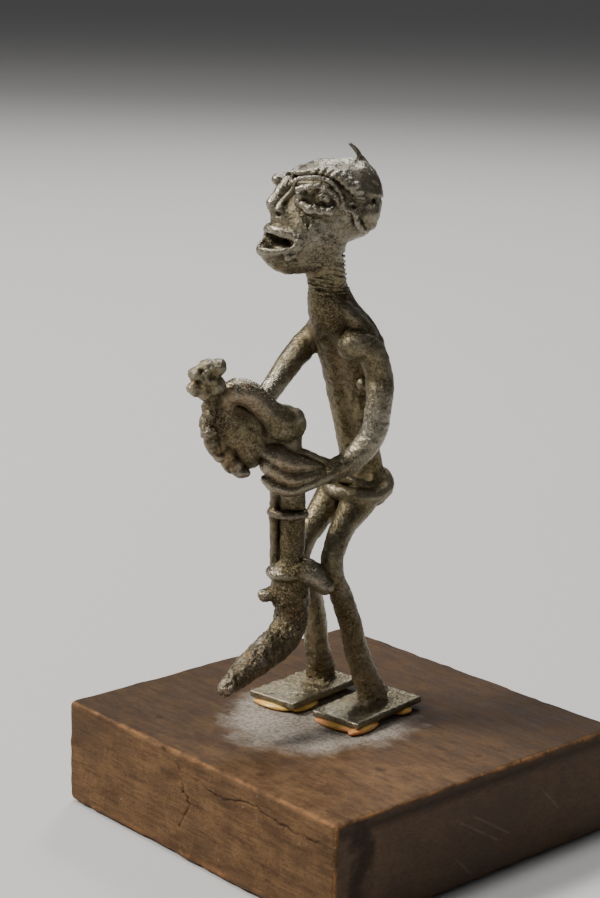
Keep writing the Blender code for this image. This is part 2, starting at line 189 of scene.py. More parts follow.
class Wax:
    """A wax model: pieces added one after another, and tools pressed into it."""

    def __init__(self):
        self.steps = []

    def add(self, piece, blend=0.35):
        """Join a piece on, with a fillet of about a blend's width."""
        self.steps.append((piece, blend, 1))

    def press(self, piece, blend=0.12):
        """Press a piece's shape into the wax."""
        self.steps.append((piece, blend, -1))

    def distances(self, centres, offsets, reach):
        """Distance to the wax at each centre plus each offset, below zero inside."""
        value = np.full((len(centres), len(offsets)), FAR, np.float32)
        for piece, blend, sign in self.steps:
            near, found = piece.measure(centres, offsets, reach + blend)
            value[near] = sign * smooth_min(sign * value[near], found, blend)
        return value

    def grid(self, low, high, cell):
        """Distances on a full grid, worked out closely only in the chunks that the surface runs through."""
        side = cell * CHUNK
        counts = np.ceil((high - low) / side).astype(int)
        chunks = np.stack(np.meshgrid(*map(np.arange, counts), indexing="ij"), -1).reshape(-1, 3)
        centres = low + (chunks + 0.5) * side
        reach = side * math.sqrt(3) / 2
        coarse = self.distances(centres, np.zeros((1, 3)), reach * ROUGH_SEARCH)[:, 0]
        steps = (np.arange(CHUNK) + 0.5) * cell - side / 2
        offsets = np.stack(np.meshgrid(steps, steps, steps, indexing="ij"), -1).reshape(-1, 3)
        near = np.flatnonzero(np.abs(coarse) < reach * CLOSE_SEARCH)
        value = np.where(coarse < 0, -1, 1).astype(np.float32)
        value = np.repeat(value[:, None], CHUNK**3, 1)
        value[near] = self.distances(centres[near], offsets, reach)
        value = value.reshape(*counts, CHUNK, CHUNK, CHUNK)
        return value.transpose(0, 3, 1, 4, 2, 5).reshape(counts * CHUNK)


def surface_net(value):
    """Vertices, in cells from the grid's corner, and four-sided faces of its zero level."""
    inside = value < 0
    shape = np.array(value.shape) - 1
    count = np.zeros(shape, np.uint8)
    corners = list(product((0, 1), repeat=3))
    for x, y, z in corners:
        count += inside[x:x + shape[0], y:y + shape[1], z:z + shape[2]]
    cells = np.flatnonzero((count > 0) & (count < 8))
    spots = np.stack(np.unravel_index(cells, shape), 1)
    samples = {c: value[tuple((spots + c).T)] for c in corners}
    total = np.zeros((len(cells), 3))
    crossings = np.zeros(len(cells))
    for corner, axis in product(corners, range(3)):
        if corner[axis] == 0:
            other = tuple(v + (n == axis) for n, v in enumerate(corner))
            a, b = samples[corner], samples[other]
            crossed = (a < 0) != (b < 0)
            t = np.where(crossed, a / np.where(crossed, a - b, 1), 0)
            place = np.tile(np.array(corner, float), (len(cells), 1))
            place[:, axis] += t
            total += place * crossed[:, None]
            crossings += crossed
    vertices = spots + total / crossings[:, None]
    faces = []
    for axis in range(3):
        side, up = (axis + 1) % 3, (axis + 2) % 3
        ahead = np.roll(inside, -1, axis)
        crossed = inside != ahead
        for n in range(3):
            edge = [slice(None)] * 3
            edge[n] = slice(-1, None)
            crossed[tuple(edge)] = False
            if n != axis:
                edge[n] = slice(0, 1)
                crossed[tuple(edge)] = False
        at = np.stack(np.nonzero(crossed), 1)
        quad = []
        for back_side, back_up in ((1, 1), (0, 1), (0, 0), (1, 0)):
            cell = at.copy()
            cell[:, side] -= back_side
            cell[:, up] -= back_up
            quad.append(np.searchsorted(cells, np.ravel_multi_index(tuple(cell.T), shape)))
        quad = np.stack(quad, 1)
        leaving = inside[tuple(at.T)]
        faces.append(np.where(leaving[:, None], quad, quad[:, ::-1]))
    return vertices, np.vstack(faces)


def mesh_from(name, vertices, faces):
    """A mesh from arrays of places and of equally long rows of corners."""
    mesh = bpy.data.meshes.new(name)
    mesh.vertices.add(len(vertices))
    mesh.vertices.foreach_set("co", np.ravel(vertices).astype(np.float32))
    mesh.loops.add(faces.size)
    mesh.loops.foreach_set("vertex_index", np.ravel(faces).astype(np.int32))
    mesh.polygons.add(len(faces))
    mesh.polygons.foreach_set("loop_start", np.arange(0, faces.size, faces.shape[1], dtype=np.int32))
    mesh.update(calc_edges=True)
    mesh.validate()
    return mesh


def new_object(name, data):
    """An object in the scene."""
    made = bpy.data.objects.new(name, data)
    bpy.context.scene.collection.objects.link(made)
    return made


def with_fewer_faces(mesh):
    """The mesh with its triangles brought down to the most allowed, the flattest places first."""
    triangles = sum(len(p.vertices) - 2 for p in mesh.polygons)
    if triangles <= MOST_TRIANGLES:
        return mesh
    holder = new_object("holder", mesh)
    modifier = holder.modifiers.new("Fewer faces", "DECIMATE")
    modifier.ratio = MOST_TRIANGLES / triangles
    bpy.context.view_layer.update()
    graph = bpy.context.evaluated_depsgraph_get()
    made = bpy.data.meshes.new_from_object(holder.evaluated_get(graph))
    made.name = mesh.name
    bpy.data.objects.remove(holder, do_unlink=True)
    return made


def rows_of(items, what):
    """A place or direction for each of a mesh's vertices, as an array."""
    rows = np.empty(len(items) * 3, np.float32)
    items.foreach_get(what, rows)
    return rows.reshape(-1, 3).astype(float)


def set_places(mesh, places):
    """Move the vertices."""
    mesh.vertices.foreach_set("co", np.ravel(places).astype(np.float32))
    mesh.update()


def set_value(mesh, name, values):
    """Keep one number a vertex, for the materials to read."""
    attribute = mesh.attributes.new(name, "FLOAT", "POINT")
    attribute.data.foreach_set("value", np.asarray(values, np.float32))


# Multipliers that scatter the numbers of the noise's corners
SCATTER = np.array((73856093, 19349663, 83492791))
SEED_SCATTER = 2654435
LAST_SCATTER = 1274126177


def lumps(places, size, seed):
    """Smooth noise from -1 to 1, a lump about every size."""
    spots = places / size
    base = np.floor(spots).astype(np.int64)
    t = spots - base
    t = t * t * (3 - 2 * t)
    total = np.zeros(len(places))
    for corner in product((0, 1), repeat=3):
        cell = base + corner
        mixed = np.bitwise_xor.reduce(cell * SCATTER, axis=1) ^ (seed * SEED_SCATTER)
        mixed = ((mixed ^ (mixed >> 13)) * LAST_SCATTER) & 0x7FFFFFFF
        mixed = mixed ^ (mixed >> 15)
        weight = np.where(corner, t, 1 - t).prod(1)
        total += weight * ((mixed & 0xFFFF) / 32767.5 - 1)
    return total


def layered(places, *layers):
    """Smooth noises added up, each given as (height, size, seed)."""
    return sum(height * lumps(places, size, seed) for height, size, seed in layers)


def near_spots(places, spots):
    """From 0 to 1, how close each place is to the nearest of (x, y, z, reach) spots."""
    best = np.zeros(len(places))
    for x, y, z, reach in spots:
        gap = np.linalg.norm(places - (x, y, z), axis=1) / reach
        best = np.maximum(best, clamp(1.5 - 1.5 * gap))
    return best


# Head: a frame of its own, turned to the figure's right; forward, left and up from its centre.
# What stands out from it stands out from its middle, a little higher.
HEAD_CENTRE = np.array((0, -4.4, 57.1))
HEAD_MIDDLE = (0.5, 0, 1)
HEAD_AXES = np.array(Matrix.Rotation(-HEAD_TURN, 3, "Z") @ Matrix(((0, 1, 0), (-1, 0, 0), (0, 0, 1))))


def on_head(point):
    """A (forward, left, up) place on the head in the figure's frame; further numbers stay."""
    return (*(HEAD_CENTRE + HEAD_AXES @ point[:3]), *point[3:])


def head_axes(turn, about):
    """Axes on the head, turned by degrees about its forward, left or up axis."""
    lean = Matrix.Rotation(math.radians(turn), 3, {"forward": "X", "left": "Y", "up": "Z"}[about])
    return HEAD_AXES @ np.array(lean)


def head_pellet(centre, radii, axes=HEAD_AXES):
    """A pellet on the head."""
    return Pellet(on_head(centre), radii, axes)


def mirrored(points, side):
    """Points on the head's left for 1, or their mirror images for -1."""
    return [(f, left * side, *rest) for f, left, *rest in points]


def head_roll(points, side=1, closed=False, wide=1, axis=(0, 0, 1), step=0.3):
    """A roll on one side of the head."""
    places = [on_head(p) for p in mirrored(points, side)]
    return Roll(places, closed, wide, HEAD_AXES @ np.array(axis, float), step)


def along_path(points, gap):
    """Rows of a smooth path about a gap apart, each with its unit direction."""
    path = smooth_path(points, step=0.05)
    run = np.concatenate([[0], np.cumsum(np.linalg.norm(np.diff(path[:, :3], axis=0), axis=1))])
    count = max(2, round(run[-1] / gap))

    def row_at(t):
        return np.array([np.interp(t, run, column) for column in path.T])

    for at in np.linspace(0, run[-1], count):
        way = row_at(at + 0.1)[:3] - row_at(at - 0.1)[:3]
        yield row_at(at), way / np.linalg.norm(way)


def outward(place, way):
    """The direction out of the head at a place on it, at right angles to a way along it."""
    out = place - HEAD_MIDDLE
    out -= way * (out @ way)
    return out / np.linalg.norm(out)


def twisted_band(wax, points, gap):
    """Short slanted rolls side by side along a path on the head, like a twisted cord."""
    for here, way in along_path(points, gap):
        out = outward(here[:3], way)
        half = np.cross(way, out) * here[3] * 0.8 - way * here[3] * 0.7
        start, top, end = here[:3] - half, here[:3] + out * here[3] * 0.45, here[:3] + half
        size = here[3] * 0.58
        wax.add(head_roll(((*start, size * 0.8), (*top, size), (*end, size * 0.8))), 0.12)


def notched_roll(wax, points, gap, cut, slant=0, blend=0.1):
    """A roll on the head with short cuts across its outer side, slanted along it if asked."""
    wax.add(head_roll(points), blend)
    for here, way in along_path(points, gap):
        out = outward(here[:3], way)
        across = np.cross(way, out) + way * slant
        top = here[:3] + out * (here[3] + 0.02)
        start, end = top - across * here[3], top + across * here[3]
        lift = out * here[3] * 0.45
        wax.press(head_roll(((*(start - lift), cut), (*top, cut), (*(end - lift), cut))), 0.06)


def pinched_beads(wax, points, gap, swing, blend=0.08):
    """Uneven pellets side by side along a path on the head, as if pinched."""
    for n, (here, _) in enumerate(along_path(points, gap)):
        shift = swing * np.array((math.sin(2.3 * n), math.cos(1.7 * n), math.sin(3.1 * n + 1)))
        wax.add(head_pellet(here[:3] + shift, here[3] * (1 + 0.25 * math.sin(4.7 * n))), blend)


# Edge of the hair: how high it lies for each place forward on the head
HAIR_EDGE = ((-6.2, 1.9), (-5.4, 2.2), (-4.6, 2.4), (-3.6, 2.5), (-1.8, 2.4), (-1.45, 2.9), (-1.05, 3.4),
             (-0.45, 3.95), (0.15, 4.35), (0.9, 4.6), (1.6, 4.7), (2.5, 4.65), (3.75, 4.3), (6, 4.2))


def above_hair_edge(forward, up):
    """How far a place on the head lies above the edge of the hair."""
    return up - np.interp(forward, *zip(*HAIR_EDGE))


class HairPellet(Pellet):
    """The part of a pellet above the edge of the hair."""

    def measure(self, centres, offsets, reach):
        """The same as a pellet's."""
        near, found = super().measure(centres, offsets, reach)
        spots = ((centres[near] - HEAD_CENTRE)[:, None] + offsets) @ HEAD_AXES
        below = -0.8 * above_hair_edge(spots[..., 0], spots[..., 2])
        return near, np.maximum(found, below).astype(np.float32)


def add_skull(wax):
    """Skull, face, chin, muzzle and the raised cap of hair."""
    lean = head_axes(-12, "left")
    wax.add(head_pellet((-0.9, 0, 1.3), (5.75, 4.15, 4.35), lean))
    for forward, up, radii, blend in ((2, -1.2, (4.1, 3.6, 5), 0.8), (4.5, -4.2, (2.6, 2.15, 2.05), 0.8),
                                      (6.15, -4.2, (1.35, 1.75, 0.95), 0.5),
                                      (5.2, -2.5, (1.5, 2.4, 1.6), 0.5), (5.3, 0, (1.2, 1.5, 1.3), 0.6)):
        wax.add(head_pellet((forward, 0, up), radii), blend)
    wax.add(HairPellet(on_head((-0.9, 0, 1.35)), (6, 4.45, 4.6), lean), 0.12)
    wax.add(HairPellet(on_head((-2.9, 0, 2.45)), (3.5, 3.6, 3.6), HEAD_AXES), 0.3)


def add_nose(wax):
    """A narrow ridged nose with pressed nostrils."""
    wax.add(head_roll(((4.6, 0, 3.7, 0.6), (5.75, 0, 2.4, 0.6), (6.55, 0, 1.5, 0.68))), 0.5)
    wax.add(head_pellet((5.9, 0, 0.8), (0.9, 0.75, 0.8)), 0.4)
    for side in (1, -1):
        ridge = ((4.5, 1.35, 3.8, 0.2), (4.85, 0.95, 2.8, 0.22), (5.5, 0.75, 1.95, 0.24),
                 (6.1, 0.95, 1.35, 0.28))
        wax.add(head_roll(ridge, side), 0.2)
        wax.add(head_pellet((6.05, 0.85 * side, 0.95), (0.6, 0.5, 0.5)), 0.15)
    for side in (1, -1):
        wax.press(head_pellet((6.4, 0.85 * side, 0.35), (0.45, 0.36, 0.32)), 0.1)
    wax.add(head_pellet((4.95, -1.9, 3.7), (0.6, 0.7, 0.6)), 0.3)


def lip_ring(first, last, wide_half, tall_half, back, radius):
    """Points of the lips' curve between two angles, with the radius worked out for each height."""
    points = []
    for angle in np.radians(np.arange(first, last, 15)):
        wide, tall = math.cos(angle), math.sin(angle)
        forward = 6.95 - back - 0.5 * tall - (2.1 if wide > 0 else 1.2) * wide * wide
        points.append((forward, wide_half * wide, -2.55 + tall_half * tall, radius(wide, tall)))
    return points


def add_mouth(wax):
    """Open lips inside a thin raised rim, a tongue, and beads of beard below."""
    def lip_radius(wide, tall):
        return (0.72 if tall > 0 else 0.62) * (1 - 0.3 * wide * wide)

    lips = lip_ring(0, 360, 2.55, 1.15, 0, lip_radius)
    wax.add(head_roll(lips, closed=True), 0.25)
    gape = [(7.3 - 2.2 * (left / 2.6) ** 2, left, -2.65, 0.78 - 0.4 * (left / 2.3) ** 2)
            for left in (-1.7, -0.8, 0, 0.8, 1.6, 2.3)]
    wax.press(head_roll(gape), 0.12)
    wax.press(head_pellet((5.6, 0, -2.6), (2.6, 1.9, 1)), 0.2)
    wax.add(head_pellet((4.6, 0.1, -3.35), (1.6, 1.4, 0.42)), 0.2)
    wax.add(head_roll(lip_ring(-30, 215, 2.9, 1.75, 0.55, lambda wide, tall: 0.2)), 0.12)
    for side in (1, -1):
        beard = ((6.75, 0.7, -4, 0.34), (6.3, 1.35, -4, 0.42), (5.75, 1.9, -3.95, 0.46),
                 (5.1, 2.35, -3.85, 0.4))
        pinched_beads(wax, mirrored(beard, side), 0.5, 0.08)
        fringe = ((6.2, 1.25, -4.7, 0.34), (5.6, 1.75, -4.7, 0.38), (4.9, 2.1, -4.6, 0.34))
        pinched_beads(wax, mirrored(fringe, side), 0.55, 0.1)


def add_eye(wax, side):
    """A hollow almond between two heavy notched lids, round a coiled eyeball, under a thin brow."""
    lean = head_axes(-12, "left") @ np.array(Matrix.Rotation(math.radians(58 * side), 3, "Z"))
    wax.press(head_pellet((3.25, 4.1 * side, 2.4), (0.95, 2.1, 1.1), lean), 0.3)
    wax.add(head_pellet((2.3, 3.05 * side, 2.4), (0.9, 0.75, 0.85)), 0.1)
    coil = []
    last = 14
    for n in range(last + 1):
        angle = 1.75 * math.tau * n / last
        reach = 0.7 - 0.5 * n / last
        spot = np.array((2.4, 3.72 * side, 2.35)) + np.array((0.35, 0.93 * side, 0.1)) * 0.25 * n / last
        spot = spot + np.array((0.93, -0.35 * side, 0)) * reach * math.cos(angle)
        spot = spot + np.array((0, 0, 1)) * reach * math.sin(angle)
        coil.append((*spot, 0.18))
    wax.add(head_roll(coil, step=0.2), 0.06)
    wax.add(head_pellet((4.3, 2.15 * side, 2.5), (0.7, 0.45, 0.7)), 0.2)
    upper = ((4.75, 1.9, 3, 0.24), (4.4, 2.4, 3.3, 0.3), (3.65, 3, 3.5, 0.32), (2.8, 3.48, 3.45, 0.34),
             (1.9, 3.82, 3.05, 0.34), (1.2, 4.05, 2.4, 0.32), (0.85, 4.1, 1.65, 0.26))
    wax.add(head_roll(upper, side), 0.15)
    pinched_beads(wax, mirrored(upper, side), 0.4, 0.1, 0.05)
    lower = ((4.7, 2.1, 1.75, 0.32), (4.35, 2.6, 1.45, 0.42), (3.9, 2.98, 1.2, 0.46), (3.3, 3.34, 0.95, 0.48),
             (2.6, 3.64, 0.88, 0.46), (1.8, 3.9, 0.95, 0.4), (1.1, 4.06, 1.3, 0.3))
    wax.add(head_roll(lower, side), 0.15)
    pinched_beads(wax, mirrored(lower, side), 0.46, 0.15, 0.05)
    fold = [(f + 0.1, l - 0.05, u - r - 0.14, 0.2) for f, l, u, r in lower[2:-1]]
    wax.press(head_roll(fold, side), 0.1)
    brow = ((4.75, 0.6, 3.6, 0.22), (4.5, 1.2, 3.95, 0.22), (4.25, 1.8, 4.15, 0.24), (3.6, 2.5, 4.3, 0.26),
            (2.6, 3.1, 4.3, 0.28), (1.7, 3.55, 4, 0.28), (0.95, 3.9, 3.4, 0.25), (0.4, 4.1, 2.5, 0.22),
            (0.25, 4.15, 1.7, 0.14))
    notched_roll(wax, mirrored(brow, side), 0.5, cut=0.08, blend=0.35)


def add_ear(wax, side):
    """A broad lumpy lobe behind a curled rim, with two small holes above it."""
    wax.add(head_pellet((-3.2, 3.55 * side, 0.3), (1.35, 1.15, 1.3)), 0.15)
    wax.add(head_pellet((-3.3, 3.4 * side, -0.8), (1, 0.95, 0.7)), 0.2)
    wax.add(head_pellet((-4.2, 2.95 * side, 0.75), (0.7, 0.75, 0.75)), 0.2)
    rim = ((-0.9, 4.2, 1.75, 0.3), (-1.15, 4.3, 1.05, 0.4), (-1.3, 4.4, 0.2, 0.36), (-1.55, 4.3, -0.6, 0.42),
           (-2.3, 4.05, -1.25, 0.4), (-3, 3.7, -1.5, 0.3))
    notched_roll(wax, mirrored(rim, side), 0.7, cut=0.15, slant=0.5)
    wax.add(head_pellet((-0.6, 4.15 * side, 1), (0.5, 0.35, 0.4)), 0.15)
    groove = ((-1.75, 4.5, 1.5, 0.2), (-1.85, 4.6, 0.6, 0.25), (-2.2, 4.5, -0.3, 0.2))
    wax.press(head_roll(groove, side), 0.1)
    wax.press(head_pellet((-4, 3.5 * side, 1.75), (0.34, 0.8, 0.32)), 0.1)
    wax.press(head_pellet((-0.95, 4.4 * side, 1.35), (0.25, 0.4, 0.22)), 0.1)


def add_hair(wax, side):
    """The edge of the hair: a flat ridge over the brow, then a twisted band that grows to the ear."""
    ridge = ((3.8, 0, 4.5, 0.34), (3.35, 0.9, 4.65, 0.34), (2.6, 1.6, 4.85, 0.36), (1.9, 2.1, 4.95, 0.38))
    wax.add(head_roll(ridge, side, wide=1.4, axis=(1, 0, 0.6)), 0.15)
    groove = ((4.1, 0, 4, 0.2), (3.75, 1.1, 4.15, 0.22), (3.05, 2, 4.35, 0.24), (2.3, 2.7, 4.5, 0.18))
    wax.press(head_roll(groove, side), 0.1)
    band = ((2.1, 2, 4.95, 0.5), (1.4, 2.5, 4.85, 0.58), (0.7, 2.95, 4.65, 0.64), (0.1, 3.3, 4.35, 0.7),
            (-0.5, 3.65, 3.9, 0.76), (-1.05, 3.9, 3.35, 0.78), (-1.5, 4, 2.8, 0.7), (-1.8, 4.05, 2.25, 0.55))
    twisted_band(wax, mirrored(band, side), 0.62)
    nape = ((-3.6, 3.5, 2.45, 0.36), (-4.6, 2.8, 2.3, 0.38), (-5.3, 2, 2.1, 0.4), (-5.8, 1, 1.9, 0.4),
            (-5.9, 0, 1.85, 0.4))
    twisted_band(wax, mirrored(nape, side), 0.6)


def add_scars(wax, side):
    """Fine cuts on the cheek, and a slit in the hair behind."""
    cuts = (((3.9, 3.15, 0.5, 0.14), (3.85, 3.1, -0.1, 0.2), (3.9, 3, -1, 0.12)),
            ((3.3, 3.55, 0.35, 0.14), (2.15, 3.7, 0, 0.24), (1, 3.85, -0.3, 0.14)),
            ((-3.4, 3.4, 4, 0.08), (-4, 3.15, 3.75, 0.26), (-4.8, 2.75, 3.35, 0.08)))
    for cut in cuts:
        wax.press(head_roll(cut, side), 0.06)


def add_head(wax):
    """The whole head."""
    add_skull(wax)
    add_nose(wax)
    add_mouth(wax)
    for side, add in product((1, -1), (add_eye, add_ear, add_hair, add_scars)):
        add(wax, side)
    tuft = ((-5.1, 0, 4.2, 0.7), (-4.4, 0, 5.6, 0.5), (-3.8, 0, 6.6, 0.32), (-2.8, 0, 7.7, 0.12))
    wax.add(head_roll(tuft), 0.3)
    wax.add(head_roll(((-4.3, 0.35, 5.3, 0.4), (-3.7, 0.3, 6.1, 0.2), (-3.4, 0.25, 6.8, 0.12))), 0.1)


def add_trunk(wax):
    """Neck with its rings, flat slender trunk, sloping shoulders, hips and the knob on the chest."""
    neck = ((0, -4.6, 53.5, 2.3), (0, -3.9, 50.5, 2.2), (0, -3.5, 48.9, 2.25), (0, -3, 46.4, 2.5),
            (0, -1.8, 44.2, 2.4))
    wax.add(Roll(neck), 0.9)
    for n in range(12):
        height = 53 - 0.46 * n + 0.08 * math.sin(5 * n)
        back = -4.5 + 0.28 * (52.6 - height)
        ring = []
        for angle in np.radians(np.arange(0, 360, 30)):
            depth = 0.11 + 0.07 * math.cos(angle - 0.7) + 0.04 * math.sin(4 * n + 3 * angle)
            lift = 0.1 * math.sin(7 * n + 2 * angle) - 0.3 * math.sin(angle)
            x, y = 2.25 * math.cos(angle), back + 2.25 * math.sin(angle)
            ring.append((x, y, height + lift, max(depth, 0.03)))
        wax.press(Roll(ring, closed=True), 0.1)
    trunk = ((0, -1.4, 43.8, 1.7), (0, -0.2, 40.5, 1.7), (0, 1.6, 34.8, 1.6), (0, 3.3, 28.8, 1.45),
             (0, 3.9, 24.8, 1.5))
    wax.add(Roll(trunk, wide=2), 1)
    for side, back in ((1, 0), (-1, 0.7)):
        slope = ((0.5 * side, -2.9, 47.6, 1.6), (2.4 * side, back - 1.7, 45.4, 1.5),
                 (4.2 * side, back - 0.8, 42.8, 1.5))
        wax.add(Roll(slope), 0.9)
    dip = ((0.7, -4.2, 42.6, 1.2), (0.6, -2.9, 39, 1.45), (0.5, -0.9, 33.6, 1.4), (0.4, 0.9, 28.6, 1.2))
    wax.press(Roll(dip), 0.9)
    wax.add(Pellet((3, -0.9, 38.2), (0.6, 0.6, 0.75)), 0.06)
    wax.add(Pellet((0, 3.4, 24.6), (3.5, 2.4, 1.9)), 0.6)


def add_loincloth(wax):
    """A rolled band round the hips, and two rolls across its front that run up over the near hip."""
    band = []
    for angle in np.radians(np.arange(0, 360, 25)):
        x = 3.2 * math.cos(angle)
        band.append((x, 3.4 + 2.2 * math.sin(angle), 25.4 - 0.1 * x, 0.85))
    wax.add(Roll(band, closed=True), 0.25)
    lower = ((-2.6, 0.6, 25.3, 0.6), (-0.7, -0.7, 25.4, 0.85), (1.4, -0.7, 25.2, 0.95),
             (2.7, -0.1, 25.1, 0.95), (3.4, 1.2, 25, 0.9), (3.7, 2.7, 25.3, 0.95), (3.3, 3.8, 26.1, 1),
             (2.6, 4.3, 26.9, 0.85))
    wax.add(Roll(lower), 0.08)
    upper = ((-2.4, 1.2, 26.2, 0.4), (-1.3, 0, 26.4, 0.5), (0.3, 0.1, 26.7, 0.6), (1.7, 0.6, 26.4, 0.6),
             (2.7, 1.7, 26.1, 0.55), (3, 3, 26.3, 0.5))
    wax.add(Roll(upper), 0.08)
    wax.add(Pellet((2.2, 3.6, 26.6), (1.3, 1.5, 1.2)), 0.5)


def add_arms(wax):
    """The far arm is a straight tube to the flask; the near arm is a long roll laid on the chest."""
    right = ((-3.9, 0.4, 43.6, 1.5), (-4.6, -1.6, 41.9, 1.5), (-5, -6, 38.3, 1.3), (-5, -10.4, 34.4, 1.2))
    wax.add(Roll(right), 0.4)
    wax.add(Roll(((1.3, -4.3, 48.2, 0.7), (2.9, -3.2, 46.3, 0.95), (4.5, -2, 44, 1.1))), 0.35)
    left = ((3.3, -3.6, 43, 1.4), (3.8, -3.4, 43.2, 1.7), (4.9, -2.3, 42.6, 1.65), (5.5, -1.2, 40, 1.6),
            (6.3, -1.9, 36.8, 1.5), (6.1, -2.7, 33.4, 1.45), (4.9, -4.2, 30.7, 1.45), (2.9, -6.2, 29, 1.3))
    wax.add(Roll(left), 0.06)


def add_hands(wax):
    """The near hand wraps the barrel with a thumb and three fingers; the far one holds the flask."""
    wax.add(Pellet((0.2, -8.4, 29.6), (1.6, 1.9, 1.8)), 0.3)
    wax.add(Pellet((-1.3, -10.1, 29.7), (1.3, 1.2, 1.6)), 0.3)
    almond = ((-1.4, -12, 31.7, 0.8), (-0.4, -11.3, 31.2, 1.2), (0.6, -10.3, 30.5, 1.2), (1.6, -8.9, 30, 0.9),
              (2.6, -7.3, 29.8, 0.45))
    second = ((-0.9, -11.9, 30.2, 1.05), (-0.1, -11.5, 29.4, 0.9), (0.9, -10.7, 28.7, 0.75),
              (2, -9.1, 28.7, 0.65), (2.9, -7.5, 29.3, 0.5))
    third = ((-1.2, -11.9, 28.5, 0.65), (-0.2, -11.7, 27.8, 0.7), (0.9, -10.6, 27.4, 0.65),
             (2.1, -9, 27.8, 0.65), (3.2, -7.3, 28.8, 0.7), (3.9, -6.1, 29.6, 0.7))
    for finger in (third, second, almond):
        wax.add(Roll(finger), 0.08)
    thumb = ((-0.45, -9.6, 32.1, 0.45), (0.75, -8.6, 31.5, 0.45), (1.8, -7.6, 30.85, 0.48),
             (2.85, -6.4, 30.2, 0.5))
    wax.add(Roll(thumb), 0.1)
    for centre, radii in (((-3.7, -15.7, 31.4), (0.85, 0.95, 1.45)), ((-3.1, -14.8, 30.3), (0.8, 0.85, 0.9)),
                          ((-2.9, -14.2, 29.5), (1.1, 0.95, 0.75)),
                          ((-4.2, -14.4, 30), (0.95, 0.95, 0.95))):
        wax.add(Pellet(centre, radii), 0.1)


def add_legs(wax):
    """Each leg bends at the knee and runs down to the middle of its plate."""
    for side, knee_y, ankle_y, bow in ((1, -4.6, 0.9, 0), (-1, -4.2, 2.9, 0.9)):
        knee = np.array((2.5 * side, knee_y, 18.8))
        ankle = np.array((PLATE_ASIDE * side, ankle_y, 0.5))
        shin = knee + (ankle - knee) * 0.42 + (0, bow, 0)
        calf = knee + (ankle - knee) * 0.75 + (0, bow / 2, 0)
        leg = ((1.8 * side, 0.9, 24.3, 2), (2.0 * side, -2, 22, 1.5), (*knee, 1.3), (*shin, 1.3),
               (*calf, 1.45), (*(ankle + (0, 0, 1.4)), 1.6))
        wax.add(Roll(leg), 0.25)
        wax.add(Roll(((*(ankle + (0, 0, 1.6)), 1.55), (*(ankle + (0, 0, 0.7)), 1.7))), 0.3)


def add_plates(wax):
    """Two oblong plates under the feet."""
    for side in (1, -1):
        wax.add(Slab((PLATE_ASIDE * side, 0, PLATE_HALF[2]), PLATE_HALF), 0.5)
    spur = ((PLATE_ASIDE, 2.1, 0.9, 0.35), (PLATE_ASIDE, 2.55, 1.9, 0.28), (PLATE_ASIDE, 2.3, 3, 0.18))
    wax.add(Roll(spur), 0.15)
    wax.press(Pellet((-PLATE_ASIDE - 0.5, 0.9, 1), (0.9, 0.8, 0.5)), 0.3)


def add_gun(wax):
    """Barrel with its ramrod, two bands, the lock, a trigger knob and the curved stock."""
    barrel = ((-0.85, -9.5, 34.8, 1.8), (-0.75, -9.1, 31, 1.65), (-0.4, -8.5, 26, 1.45),
              (-0.5, -8.2, 16.5, 1.5))
    wax.add(Roll(barrel), 0.3)
    wax.add(Roll(((-1.9, -9.8, 28, 0.55), (-1.9, -9.5, 17, 0.55))), 0.08)
    for height, x in ((24.2, -0.8), (17.2, -0.9)):
        ring = [(x + 1.9 * math.cos(angle), -8.7 + 1.5 * math.sin(angle), height, 0.55)
                for angle in np.radians(np.arange(0, 360, 30))]
        wax.add(Roll(ring, closed=True), 0.1)
    stock = ((-0.7, -8.4, 17, 1.9), (-0.7, -8, 14.6, 2.1), (-0.75, -7.7, 12.6, 1.95), (-0.8, -8, 10.9, 2),
             (-0.9, -9.3, 9.6, 1.9), (-1, -11.9, 8.4, 1.8), (-1.2, -15.3, 7.1, 1.5), (-1.35, -18, 5.9, 0.95))
    wax.add(Roll(stock), 0.4)
    wax.add(Roll(((-0.6, -8.2, 17.6, 1.9), (1.6, -7.3, 17.3, 1.5), (3, -6.5, 15.9, 1))), 0.2)
    wax.add(Roll(((-1.3, -9.2, 14.8, 0.9), (-2.1, -9.9, 14.7, 0.8), (-2.6, -10.35, 14.6, 0.75))), 0.4)


